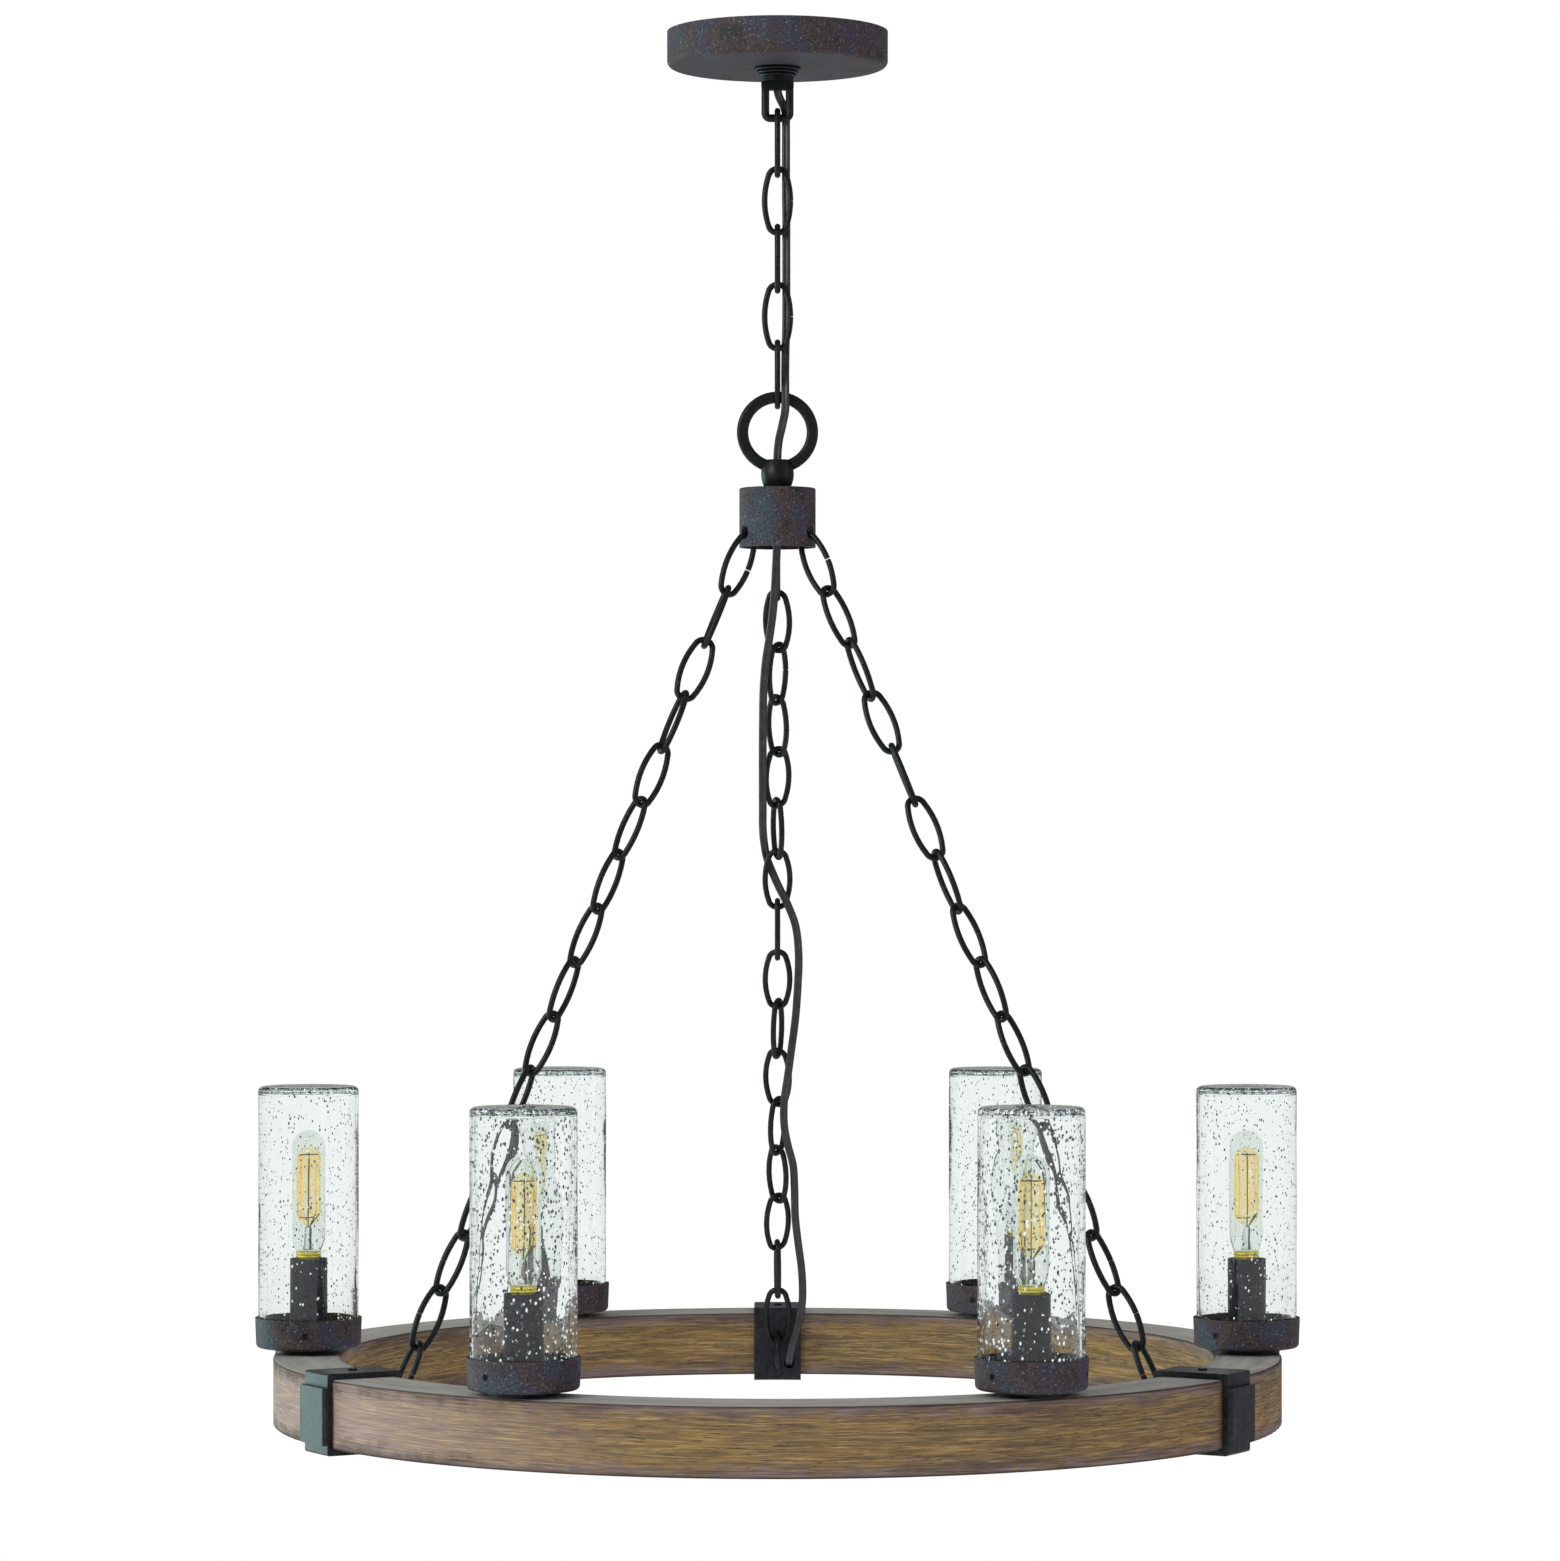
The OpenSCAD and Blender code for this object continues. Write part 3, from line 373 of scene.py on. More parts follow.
print("the floor lies", FLOOR_DROP, "m under the ring's top")

# %% [markdown]
# ## A kit for finishes
# Each finish is a small tree of nodes. They all read Object coordinates, which are the
# chandelier's own metres, so a scale of 1000 makes spots about a millimetre wide. Short helpers
# keep the trees easy to read: they start a finish, add a noise, turn a value into colours, mix two
# colours, turn a value into a share between 0 and 1, and make a relief.

# %% Helpers for finishes


def colour(code):
    """A web colour such as 8a6f4e, made linear for the shader."""
    parts = [int(code[i:i + 2], 16) / 255 for i in (0, 2, 4)]
    return tuple(c / 12.92 if c <= 0.04045 else ((c + 0.055) / 1.055) ** 2.4 for c in parts) + (1,)


def start_finish(name, **sockets):
    """A new material. Gives it with its tree, its shader and the point's place on the object."""
    material = bpy.data.materials.new(name)
    material.use_nodes = True
    tree = material.node_tree
    shader = tree.nodes["Principled BSDF"]
    for key, value in sockets.items():
        shader.inputs[key.replace("_", " ").replace("Ior", "IOR")].default_value = value
    place = add(tree, "ShaderNodeTexCoord").outputs["Object"]
    return material, tree, shader, place


def spots(tree, place, scale, detail=2.0, roughness=0.5):
    made = add(tree, "ShaderNodeTexNoise", {"Vector": place, "Scale": scale, "Detail": detail,
                                            "Roughness": roughness})
    return made.outputs["Fac"]


def ramp(tree, value, stops):
    """Turns a value into colours. stops is a list of (position, web colour)."""
    made = add(tree, "ShaderNodeValToRGB", {0: value})
    band = made.color_ramp.elements
    while len(band) < len(stops):
        band.new(0.5)
    for element, (position, code) in zip(band, stops):
        element.position = position
        element.color = colour(code)
    return made.outputs["Color"]


def mix(tree, share, a, b, way="MIX"):
    """Mixes two colours: a where share is 0, b where it is 1."""
    made = add(tree, "ShaderNodeMix", {0: share, 6: a, 7: b}, data_type="RGBA", blend_type=way)
    return made.outputs[2]


def between(tree, value, low, high):
    """0 below low, 1 above high, and a straight slope between."""
    made = add(tree, "ShaderNodeMapRange", {"Value": value, "From Min": low, "From Max": high})
    return made.outputs["Result"]


def relief(tree, shader, height, depth):
    bump = add(tree, "ShaderNodeBump", {"Height": height, "Distance": depth, "Strength": 1.0})
    tree.links.new(bump.outputs[0], shader.inputs["Normal"])


# %% [markdown]
# ## Mottled iron
# Canopy, hub and cups have a hand-painted iron look: a slate ground, rust-brown and violet clouds
# two or three centimetres wide, and a sand-like grain with dark pits and pale specks. Two noises
# of very different size give it. The grain also drives the relief, so that the specks catch the
# light.

# %% Make the mottled iron
IRON_CLOUDS = 38  # scales of the two noises
IRON_SAND = 800
IRON_TONES = [(0.34, "38444a"), (0.45, "3b3846"), (0.55, "453835"), (0.66, "2d2b31")]


def mottled_iron():
    material, tree, shader, place = start_finish("mottled iron", Roughness=0.6, Metallic=0.15,
                                                 Specular_IOR_Level=0.3)
    clouds = spots(tree, place, IRON_CLOUDS, detail=3.0, roughness=0.6)
    ground = ramp(tree, clouds, IRON_TONES)
    grain = spots(tree, place, IRON_SAND, detail=3.0, roughness=0.7)
    pits = between(tree, grain, 0.45, 0.35)
    specks = between(tree, grain, 0.60, 0.74)
    body = mix(tree, pits, ground, colour("17181c"))
    tree.links.new(mix(tree, specks, body, colour("a09ca8")), shader.inputs["Base Color"])
    relief(tree, shader, grain, 0.5 * MM)
    return material


# %% [markdown]
# ## Black iron, charcoal and slate
# The chains, the ring over the hub, the ball and the loop are nearly black, with a soft sheen.
# Straps and blocks are a cool charcoal, and the candle sleeves a dark slate blue. They are one
# recipe with other colours: two close tones in small clouds, and a fine cast-iron grain.

# %% Make the plain metals
METAL_CLOUDS = 90
GRAIN_SHARE = 0.8


def satin_metal(name, tones, roughness, metallic, grain_scale, depth):
    material, tree, shader, place = start_finish(name, Roughness=roughness, Metallic=metallic,
                                                 Specular_IOR_Level=0.35)
    clouds = spots(tree, place, METAL_CLOUDS, detail=3.0, roughness=0.6)
    ground = ramp(tree, clouds, [(0.35, tones[0]), (0.65, tones[1])])
    grain = spots(tree, place, grain_scale, detail=3.0, roughness=0.65)
    shade = ramp(tree, grain, [(0.32, "3c3c3c"), (0.50, "808080"), (0.68, "bcbcbc")])
    body = mix(tree, GRAIN_SHARE, ground, shade, "OVERLAY")
    tree.links.new(body, shader.inputs["Base Color"])
    relief(tree, shader, grain, depth)
    return material


# %% [markdown]
# ## Weathered wood
# The ring only looks like wood: its grain runs round it, as if it had been bent from one board. A
# noise in plain X, Y and Z would cut across it, so we build coordinates that follow the ring: the
# direction from the axis, scaled little, gives long streaks, and height and radius, scaled a lot,
# give thin ones. There is no seam, because the direction closes on itself. Three such noises lie
# over each other: thin fibres, wide bands like boards, and dark pores.

# %% A noise that runs round the ring
GRAIN_ROUGHNESS = 0.62


def along_the_ring(tree, place, scales):
    """A noise whose spots are long round the ring and thin across it."""
    round_scale, fine_scale, detail = scales
    flat = add(tree, "ShaderNodeVectorMath", {0: place, 1: (1, 1, 0)}, operation="MULTIPLY")
    way = add(tree, "ShaderNodeVectorMath", {0: flat}, operation="NORMALIZE")
    up = add(tree, "ShaderNodeVectorMath", {0: place, 1: (0, 0, fine_scale)}, operation="MULTIPLY")
    where = add(tree, "ShaderNodeVectorMath", {0: way, 1: (round_scale, round_scale, 0), 2: up},
                operation="MULTIPLY_ADD")
    out = add(tree, "ShaderNodeVectorMath", {0: flat}, operation="LENGTH").outputs["Value"]
    depth = add(tree, "ShaderNodeMath", {0: out, 1: fine_scale}, operation="MULTIPLY")
    made = add(tree, "ShaderNodeTexNoise",
               {"Vector": where, "W": depth, "Scale": 1.0, "Detail": detail,
                "Roughness": GRAIN_ROUGHNESS}, noise_dimensions="4D")
    return made.outputs["Fac"]


# %% [markdown]
# The wood has weathered. It is grey and violet along its lower and upper edges, with a ragged border
# and a thin dark line at the very edge. Its front left is painted lighter and a little pink: a
# painted highlight where the key light falls. The top face is a smooth grey. Each of these is a
# share between 0 and 1 worked out from the place on the ring, which mixes one more colour over the
# grain.

# %% Make the weathered wood
FIBRES = (11, 1250, 4.0)  # scale round the ring, scale across it, detail
BOARDS = (5, 110, 3.0)
PORES = (34, 2000, 2.0)
FIBRE_TONES = [(0.32, "2e251b"), (0.44, "675338"), (0.54, "907449"), (0.67, "c8aa74")]
BOARD_TONES = [(0.32, "554a45"), (0.46, "78664d"), (0.58, "947544"), (0.70, "958662")]
TOP_FACE_TONES = [(0.35, "8f8b85"), (0.65, "a6a39d")]
BOARD_SHARE = 0.45
# The front left is painted lighter and pinker: a painted highlight from the key light.
PAINTED_LIGHT_SHARE = 0.7
PAINTED_LIGHT_LEFT = (-0.08, -0.26)  # from X here to X there
PAINTED_LIGHT_FRONT = (0.05, -0.05)  # from Y here to Y there
RAGGED_SCALE = 45
RAGGED_REACH = 22 * MM
WORN_EDGE = (1.05, 1.42)  # in half heights of the ring from its middle, the ragged reach added
WORN_SHARE = 0.62
DARK_LINE = (1.8 * MM, 0.6 * MM)  # under the edge
TOP_FACE_SKIN = (0.5 * MM, 0.1 * MM)  # under the top face

ring_middle = (ring_low.z + ring_high.z) / 2
ring_half = (ring_high.z - ring_low.z) / 2


def weathered_wood():
    material, tree, shader, place = start_finish("weathered wood", Roughness=0.78,
                                                 Specular_IOR_Level=0.25)
    fibres = along_the_ring(tree, place, FIBRES)
    boards = along_the_ring(tree, place, BOARDS)
    pores = along_the_ring(tree, place, PORES)
    fibre = ramp(tree, fibres, FIBRE_TONES)
    body = mix(tree, BOARD_SHARE, fibre, ramp(tree, boards, BOARD_TONES))
    body = mix(tree, between(tree, pores, 0.43, 0.33), body, colour("40342b"))

    # Painted highlight at the front left, where the key light falls
    split = add(tree, "ShaderNodeSeparateXYZ", {0: place}).outputs
    left = between(tree, split["X"], *PAINTED_LIGHT_LEFT)
    in_front = between(tree, split["Y"], *PAINTED_LIGHT_FRONT)
    painted_light = times(tree, times(tree, left, in_front), PAINTED_LIGHT_SHARE)
    body = mix(tree, painted_light, body, mix(tree, 0.5, fibre, colour("c2b0b8")))

    # Worn and violet along the edges, with a dark line
    off = add(tree, "ShaderNodeMath", {0: split["Z"], 1: ring_middle}, operation="SUBTRACT")
    off = add(tree, "ShaderNodeMath", {0: off}, operation="ABSOLUTE")
    border = spots(tree, place, RAGGED_SCALE, detail=4.0, roughness=0.7)
    ragged = add(tree, "ShaderNodeMath", {0: border, 1: RAGGED_REACH, 2: off},
                 operation="MULTIPLY_ADD")
    edge = between(tree, ragged, ring_half * WORN_EDGE[0], ring_half * WORN_EDGE[1])
    violet = mix(tree, between(tree, boards, 0.4, 0.6), colour("4a4148"), colour("746a74"))
    weathered = mix(tree, edge, body, mix(tree, WORN_SHARE, fibre, violet))
    line = between(tree, off, ring_half - DARK_LINE[0], ring_half - DARK_LINE[1])
    weathered = mix(tree, line, weathered, colour("3c322c"))

    # A smooth grey on the top face
    top = between(tree, split["Z"], ring_high.z - TOP_FACE_SKIN[0], ring_high.z - TOP_FACE_SKIN[1])
    weathered = mix(tree, top, weathered, ramp(tree, boards, TOP_FACE_TONES))
    tree.links.new(weathered, shader.inputs["Base Color"])
    relief(tree, shader, fibres, 0.5 * MM)
    return material


# %% [markdown]
# ## Clear glass
# The shades are thick clear glass with a faint sea-green tint. Part of the tint lies on the
# surface, so that it dims what is behind a shade evenly. The rest is an absorption inside the
# glass, which shows where one looks along the wall. A slow relief bends the reflections, as on
# blown glass.

# %% Make the clear glass
GLASS_IOR = 1.45
SEA_GREEN = (0.953, 0.973, 0.969, 1)


def clear_glass(name, tint, density, wave_scale, wave_depth):
    material, tree, shader, place = start_finish(name, Roughness=0.0, IOR=GLASS_IOR,
                                                 Transmission_Weight=1.0, Base_Color=SEA_GREEN)
    inside = add(tree, "ShaderNodeVolumeAbsorption", {"Color": colour(tint), "Density": density})
    tree.links.new(inside.outputs[0], tree.nodes["Material Output"].inputs["Volume"])
    relief(tree, shader, spots(tree, place, wave_scale, detail=1.0), wave_depth)
    return material


# %% [markdown]
# ## Brass, zinc, wire and cord
# Small parts are seen from far away, so two close tones in patches, with the same patches as a
# faint relief, are enough for them.

# %% Make a plain finish


def plain_finish(name, dark, light, scale, depth, **sockets):
    material, tree, shader, place = start_finish(name, **sockets)
    patches = spots(tree, place, scale)
    tree.links.new(ramp(tree, patches, [(0.35, dark), (0.65, light)]), shader.inputs["Base Color"])
    relief(tree, shader, patches, depth)
    return material


# %% [markdown]
# ## Seeds, filament and painted glow
# Seed bubbles are dark against white and bright against dark, so each gets a tone of its own, a
# painted shade or painted highlight. Little light reaches them inside the wall, so they show that
# tone by glowing a little. The filament glows too, in gold and yellow patches. The warm veil round
# it is a painted glow of the filament's light in the glass: it only tints what lies behind it.

# %% Make the finishes that glow or veil
BLACK = (0, 0, 0, 1)
# The seeds' dark and bright tones are painted shade and painted highlights, shown by glowing.
SEED_SHADE_AND_HIGHLIGHT_TONES = [(0.0, "1e2729"), (0.62, "68767a"), (0.68, "e4ecea"), (1.0, "ffffff")]


def glowing(name):
    return start_finish(name, Roughness=0.5, Base_Color=BLACK, Emission_Strength=1.0)


def seed_finish():
    material, tree, shader, _ = glowing("glass seeds")
    tone = add(tree, "ShaderNodeAttribute", attribute_name="tone").outputs["Fac"]
    tree.links.new(ramp(tree, tone, SEED_SHADE_AND_HIGHLIGHT_TONES), shader.inputs["Emission Color"])
    return material


def glow_finish():
    material, tree, shader, place = glowing("filament")
    tone = ramp(tree, spots(tree, place, 120, detail=1.0), [(0.35, "f0a612"), (0.65, "ffd83c")])
    tree.links.new(tone, shader.inputs["Emission Color"])
    return material


# A painted glow: a warm veil that stands in for the filament's light spreading in the glass.
def painted_glow_finish():
    material, tree, _, place = start_finish("painted warm glow")
    soft = ramp(tree, spots(tree, place, 60, detail=1.0), [(0.3, "fff4d2"), (0.7, "fffaea")])
    veil = add(tree, "ShaderNodeBsdfTransparent", {"Color": soft})
    tree.links.new(veil.outputs[0], tree.nodes["Material Output"].inputs["Surface"])
    return material


# %% [markdown]
# ## All finishes
# Each finish is made once, and pieces share it. The brass is hardly metallic here: a truly
# metallic one would mirror the dim studio and look olive, where the photograph shows a bright
# yellow.

# %% List the finishes
FINISH = {
    "mottled_iron": mottled_iron(),
    "black_iron": satin_metal("black iron", ("101315", "1d2124"), roughness=0.42, metallic=0.2,
                              grain_scale=420, depth=0.3 * MM),
    "charcoal_metal": satin_metal("charcoal metal", ("25262d", "34363d"), roughness=0.42,
                                  metallic=0.1, grain_scale=300, depth=0.08 * MM),
    "slate_metal": satin_metal("slate sleeve", ("11141d", "1b1f2d"), roughness=0.55, metallic=0.0,
                               grain_scale=300, depth=0.08 * MM),
    "weathered_wood": weathered_wood(),
    "shade_glass": clear_glass("shade glass", "a6cfc8", density=10, wave_scale=55,
                               wave_depth=0.25 * MM),
    "bulb_glass": clear_glass("bulb glass", "c6d2b6", density=150, wave_scale=40,
                              wave_depth=0.04 * MM),
    "bulb_brass": plain_finish("bulb brass", "e0c622", "fff060", scale=300, depth=0.02 * MM,
                               Roughness=0.25, Metallic=0.12),
    "stem_glass": clear_glass("stem glass", "b9cfca", density=40, wave_scale=60,
                              wave_depth=0.05 * MM),
    "lead_wire": plain_finish("lead wire", "1c1916", "3c342a", scale=300, depth=0.01 * MM,
                              Roughness=0.4, Metallic=0.2),
    "glow": glow_finish(),
    "painted_glow": painted_glow_finish(),
    "zinc": plain_finish("zinc", "8c8e90", "b4b6b8", scale=250, depth=0.03 * MM,
                         Roughness=0.35, Metallic=0.9),
    "phenolic": plain_finish("phenolic", "121212", "1c1b1b", scale=200, depth=0.02 * MM,
                             Roughness=0.35),
    "green_screw": plain_finish("green screw", "1c6b34", "2c8a48", scale=300, depth=0.02 * MM,
                                Roughness=0.4, Metallic=0.4),
    "cord": plain_finish("cord", "231d21", "352c33", scale=180, depth=0.04 * MM, Roughness=0.42),
    "seeds": seed_finish(),
}
print(len(FINISH), "finishes")

# %% [markdown]
# ## Dress the model's own pieces
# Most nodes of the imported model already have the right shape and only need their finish. Each body
# of the chandelier is a mix of finishes, so we list the nodes by finish.

# %% Give each node its finish
COUNT = 6


def numbered(*stems):
    return [f"{stem}_{k + 1}" for stem in stems for k in range(COUNT)]


DRESS = {
    "mottled_iron": ["canopy", "hub"] + numbered("cup"),
    "black_iron": ["hang_loop", "top_link", "upper_chain", "hanging_ring", "neck_ball",
                   "leg_chain_left", "leg_chain_right", "leg_chain_back", "chain_eyes",
                   "strap_screws", "pedestals", "set_screws"],
    "charcoal_metal": ["strap_left", "strap_right", "strap_back", "buckles"],
    "slate_metal": ["sleeves"],
    "weathered_wood": ["ring_body", "ring_cover"],
    "zinc": ["mounting_bar", "nipple", "nipple_nuts", "hub_nipple", "hub_nut", "cover_screws",
             "socket_nuts"],
    "phenolic": ["sockets"],
    "green_screw": ["ground_screw"],
    "cord": ["cord_top", "cord_link", "cord_upper", "cord_leg", "harness"],
}


def dress(thing, finish_name):
    thing.data.materials.clear()
    thing.data.materials.append(FINISH[finish_name])


for finish_name, members in DRESS.items():
    for member in members:
        dress(NODES[member], finish_name)
for piece in cords.values():
    dress(piece, "cord")
print(sum(len(members) for members in DRESS.values()), "nodes dressed")

# %% [markdown]
# ## The glass shades
# Each shade is a jar turned upside down, with a 2.6 mm wall and a thicker closed top. Blown glass
# isn't true: the wall wanders in and out by a few tenths of a millimetre, and that is what bends
# the straight lines behind it. We spin the shade's outline and let a slow noise move the wall,
# outside and inside each in its own way.
#
# The rim light would draw a white strip down each shade. Light linking leaves the shades out: the
# light's collection of receivers lists them as excluded, and all else still gets it.

# %% Outline a shade and let its wall wander
WALL = 2.6 * MM
TOP_THICK = 4 * MM
SHOULDER = 3.2 * MM
SHOULDER_IN = 1.8 * MM
FOOT = 1 * MM
WANDER = 0.5 * MM
DISH = 0.5 * MM  # how far the top sinks in its middle
INNER_DISC = 0.9  # the inner side of the top against its outer side
WALL_STEPS = 26
TOP_STEPS = 6
WAVES_ROUND, WAVES_ALONG = 2, 28  # how fast the wander changes round and along a wall
SHADES_APART, SIDES_APART = 9, 700  # keep the shades, and a wall's two sides, from wandering alike


def put(piece, body, replaced, finish_name):
    """Lets a new piece move with its body, in place of the nodes it replaces."""
    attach(piece, body)
    if replaced:
        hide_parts(*replaced)
    dress(piece, finish_name)


def middle_of(node):
    low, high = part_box(node)
    return ((low.x + high.x) / 2, (low.y + high.y) / 2), low, high


def blown(seed):
    """Moves a wall inward by up to WANDER, slowly round and along it."""
    def shape(turn, radius, height):
        along = WAVES_ALONG * height + SHADES_APART * seed + SIDES_APART * radius
        where = Vector((WAVES_ROUND * math.cos(turn), WAVES_ROUND * math.sin(turn), along))
        return radius - WANDER * (0.5 + 0.5 * noise.noise(where))
    return shape


def shade_outline(foot, top, r):
    """From the middle of the top out and down the outer side, and up the inner side."""
    straight = top - foot - FOOT - SHOULDER
    rise = [foot + FOOT + straight * j / WALL_STEPS for j in range(WALL_STEPS + 1)]
    disc = [(r - SHOULDER) * j / TOP_STEPS for j in range(1, TOP_STEPS)]
    outline = [(0, top - DISH)] + [(d, top - DISH * (1 - (d / r) ** 2)) for d in disc]
    outline += bend(r - SHOULDER, top - SHOULDER, SHOULDER, 90, 0) + [(r, z) for z in rise[-2:0:-1]]
    outline += bend(r - FOOT, foot + FOOT, FOOT, 0, -90, 3) + [(r - WALL, foot)]
    outline += [(r - WALL, z) for z in rise[1:-1]]
    outline += bend(r - WALL - SHOULDER_IN, top - TOP_THICK - SHOULDER_IN, SHOULDER_IN, 0, 90)
    outline += [(d * INNER_DISC, top - TOP_THICK) for d in disc[::-1]]
    return outline + [(0, top - TOP_THICK)]


# %% Turn the six shades
left_out = bpy.data.collections.new("shades without rim light")
rim_light.light_linking.receiver_collection = left_out
for k in range(COUNT):
    node = f"shade_{k + 1}"
    centre, low, high = middle_of(node)
    foot, top, r = low.z, high.z, (high.x - low.x) / 2
    glass = spin(f"glass_{k + 1}", shade_outline(foot, top, r), centre, shape=blown(k))
    put(glass, f"shade_body_{k + 1}", [node], "shade_glass")
    left_out.objects.link(glass)
    left_out.collection_objects[-1].light_linking.link_state = "EXCLUDE"
print("shade", round(2000 * r, 1), "mm across,", round(1000 * (top - foot), 1), "mm high")

# %% [markdown]
# ## Trees that grow geometry
# Seeds and wires, which repeat, are grown with Geometry Nodes. We write each tree once,
# give its inputs names, and run it for each light with other values. Then we keep the outcome as a
# plain mesh.

# %% Helpers to write a tree and to run it


def new_tree(name, **inputs):
    """A geometry tree with named inputs, each given as its socket kind. Gives the tree, its input's
    sockets and its output."""
    tree = bpy.data.node_groups.new(name, "GeometryNodeTree")
    for label, kind in inputs.items():
        tree.interface.new_socket(label, in_out="INPUT", socket_type="NodeSocket" + kind)
    tree.interface.new_socket("Geometry", in_out="OUTPUT", socket_type="NodeSocketGeometry")
    return tree, add(tree, "NodeGroupInput").outputs, add(tree, "NodeGroupOutput")


def grow(name, tree, start=None, **values):
    """Runs a tree, on a start mesh if there is one, and keeps what it makes as a plain mesh."""
    thing = start or link_to_scene(bpy.data.objects.new(name, bpy.data.meshes.new(name)))
    made = thing.modifiers.new("grow", "NODES")
    made.node_group = tree
    for item in tree.interface.items_tree:
        if item.in_out == "INPUT" and item.name in values:
            made[item.identifier] = values[item.name]
    ready = thing.evaluated_get(bpy.context.evaluated_depsgraph_get())
    mesh = bpy.data.meshes.new_from_object(ready)
    thing.modifiers.remove(made)
    thing.data = mesh
    return thing


def chance(tree, low, high, seed):
    """A random number between low and high for each point or instance. Each use has its own seed."""
    made = add(tree, "FunctionNodeRandomValue", {2: low, 3: high, 8: seed}, data_type="FLOAT")
    return made.outputs[1]


# %% [markdown]
# ## Seeds in the glass
# Seeded glass is full of small air bubbles, drawn out a little along the jar. We scatter points on
# a cylinder in the middle of the wall and on a disc in the middle of the top, and put a small
# stretched ball on each. A random number called tone goes with each seed, and the finish turns it
# into a glowing painted shade or painted highlight.

# %% Write the seed tree
SEED_WIDE = (0.25 * MM, 0.62 * MM)  # smallest and largest half width
SEED_STRETCH = (1.0, 2.0)
TUBE_FLATS = 64
BALL_FACES = 20

seed_tree, given, result = new_tree("seeds", Radius="Float", Height="Float", Place="Vector",
                                    Density="Float", Coarse="Float", Seed="Int", Finish="Material")
tube = add(seed_tree, "GeometryNodeMeshCylinder",
           {"Vertices": TUBE_FLATS, "Radius": given["Radius"], "Depth": given["Height"]},
           fill_type="NONE")
lid = add(seed_tree, "GeometryNodeMeshCircle", {"Vertices": TUBE_FLATS, "Radius": given["Radius"]},
          fill_type="NGON")
half = times(seed_tree, given["Height"], 0.5)
lift = add(seed_tree, "ShaderNodeCombineXYZ", {"Z": half})
lid_up = add(seed_tree, "GeometryNodeTransform", {"Geometry": lid, "Translation": lift})
both = add(seed_tree, "GeometryNodeJoinGeometry")
seed_tree.links.new(tube.outputs["Mesh"], both.inputs[0])
seed_tree.links.new(lid_up.outputs[0], both.inputs[0])
where = add(seed_tree, "GeometryNodeDistributePointsOnFaces",
            {"Mesh": both, "Density": given["Density"], "Seed": given["Seed"]})
ball = add(seed_tree, "GeometryNodeMeshIcoSphere", {"Radius": 1.0, "Subdivisions": 1})
wide = times(seed_tree, chance(seed_tree, *SEED_WIDE, 11), given["Coarse"])
tall = times(seed_tree, wide, chance(seed_tree, *SEED_STRETCH, 12))
stretch = add(seed_tree, "ShaderNodeCombineXYZ", {"X": wide, "Y": wide, "Z": tall})
dots = add(seed_tree, "GeometryNodeInstanceOnPoints",
           {"Points": where, "Instance": ball, "Scale": stretch})
toned = add(seed_tree, "GeometryNodeStoreNamedAttribute",
            {"Geometry": dots, "Name": "tone", "Value": chance(seed_tree, 0.0, 1.0, 13)},
            data_type="FLOAT", domain="INSTANCE")
solid = add(seed_tree, "GeometryNodeRealizeInstances", {"Geometry": toned})
placed = add(seed_tree, "GeometryNodeTransform", {"Geometry": solid, "Translation": given["Place"]})
coated = add(seed_tree, "GeometryNodeSetMaterial",
             {"Geometry": placed, "Material": given["Finish"]})
seed_tree.links.new(coated.outputs[0], result.inputs[0])
print(len(seed_tree.nodes), "nodes in the seed tree")

# %% [markdown]
# In the photograph the shades in front have more and larger seeds than the others, so they get both
# factors. Each shade draws its seeds from a random start of its own.

# %% Scatter the seeds
SEED_DENSITY = 46000.0  # to a square metre
EDGE_FREE = 3 * MM
FRONT_Y = -0.1
COARSE_FRONT = 1.35
DENSE_FRONT = 1.6
FIRST_START = 5

for k in range(COUNT):
    centre, low, high = middle_of(f"shade_{k + 1}")
    tall_z = (high.z - TOP_THICK / 2) - (low.z + EDGE_FREE)
    mid_r = (high.x - low.x) / 2 - WALL / 2 - WANDER / 2
    in_front = centre[1] < FRONT_Y
    seeds = grow(f"seeds_{k + 1}", seed_tree, Radius=mid_r, Height=tall_z,
                 Density=SEED_DENSITY * (DENSE_FRONT if in_front else 1.0),
                 Coarse=COARSE_FRONT if in_front else 1.0, Seed=FIRST_START + k,
                 Place=(centre[0], centre[1], low.z + EDGE_FREE + tall_z / 2),
                 Finish=FINISH["seeds"])
    put(seeds, f"shade_body_{k + 1}", [], "seeds")
print(len(seeds.data.polygons) // BALL_FACES, "seeds in the last shade")

# %% [markdown]
# ## The bulbs
# A tubular bulb has a thin glass on a brass collar with two ridges. Inside, a glass stem carries
# two lead wires and a rod with a hook at each turn of the filament, which runs up and down eight
# times. Wires of every kind come from one small tree that draws a round wire along the edges of a
# mesh.

# %% Write the wire tree
WIRE_FLATS = 6
wire_tree, given, result = new_tree("wire", Path="Geometry", Thickness="Float", Finish="Material")
line = add(wire_tree, "GeometryNodeMeshToCurve", {"Mesh": given["Path"]})
hoop = add(wire_tree, "GeometryNodeCurvePrimitiveCircle",
           {"Resolution": WIRE_FLATS, "Radius": given["Thickness"]})
wire = add(wire_tree, "GeometryNodeCurveToMesh",
           {"Curve": line, "Profile Curve": hoop, "Fill Caps": True})
wire = add(wire_tree, "GeometryNodeRealizeInstances", {"Geometry": wire})
wire = add(wire_tree, "GeometryNodeSetMaterial", {"Geometry": wire, "Material": given["Finish"]})
wire_tree.links.new(wire.outputs[0], result.inputs[0])


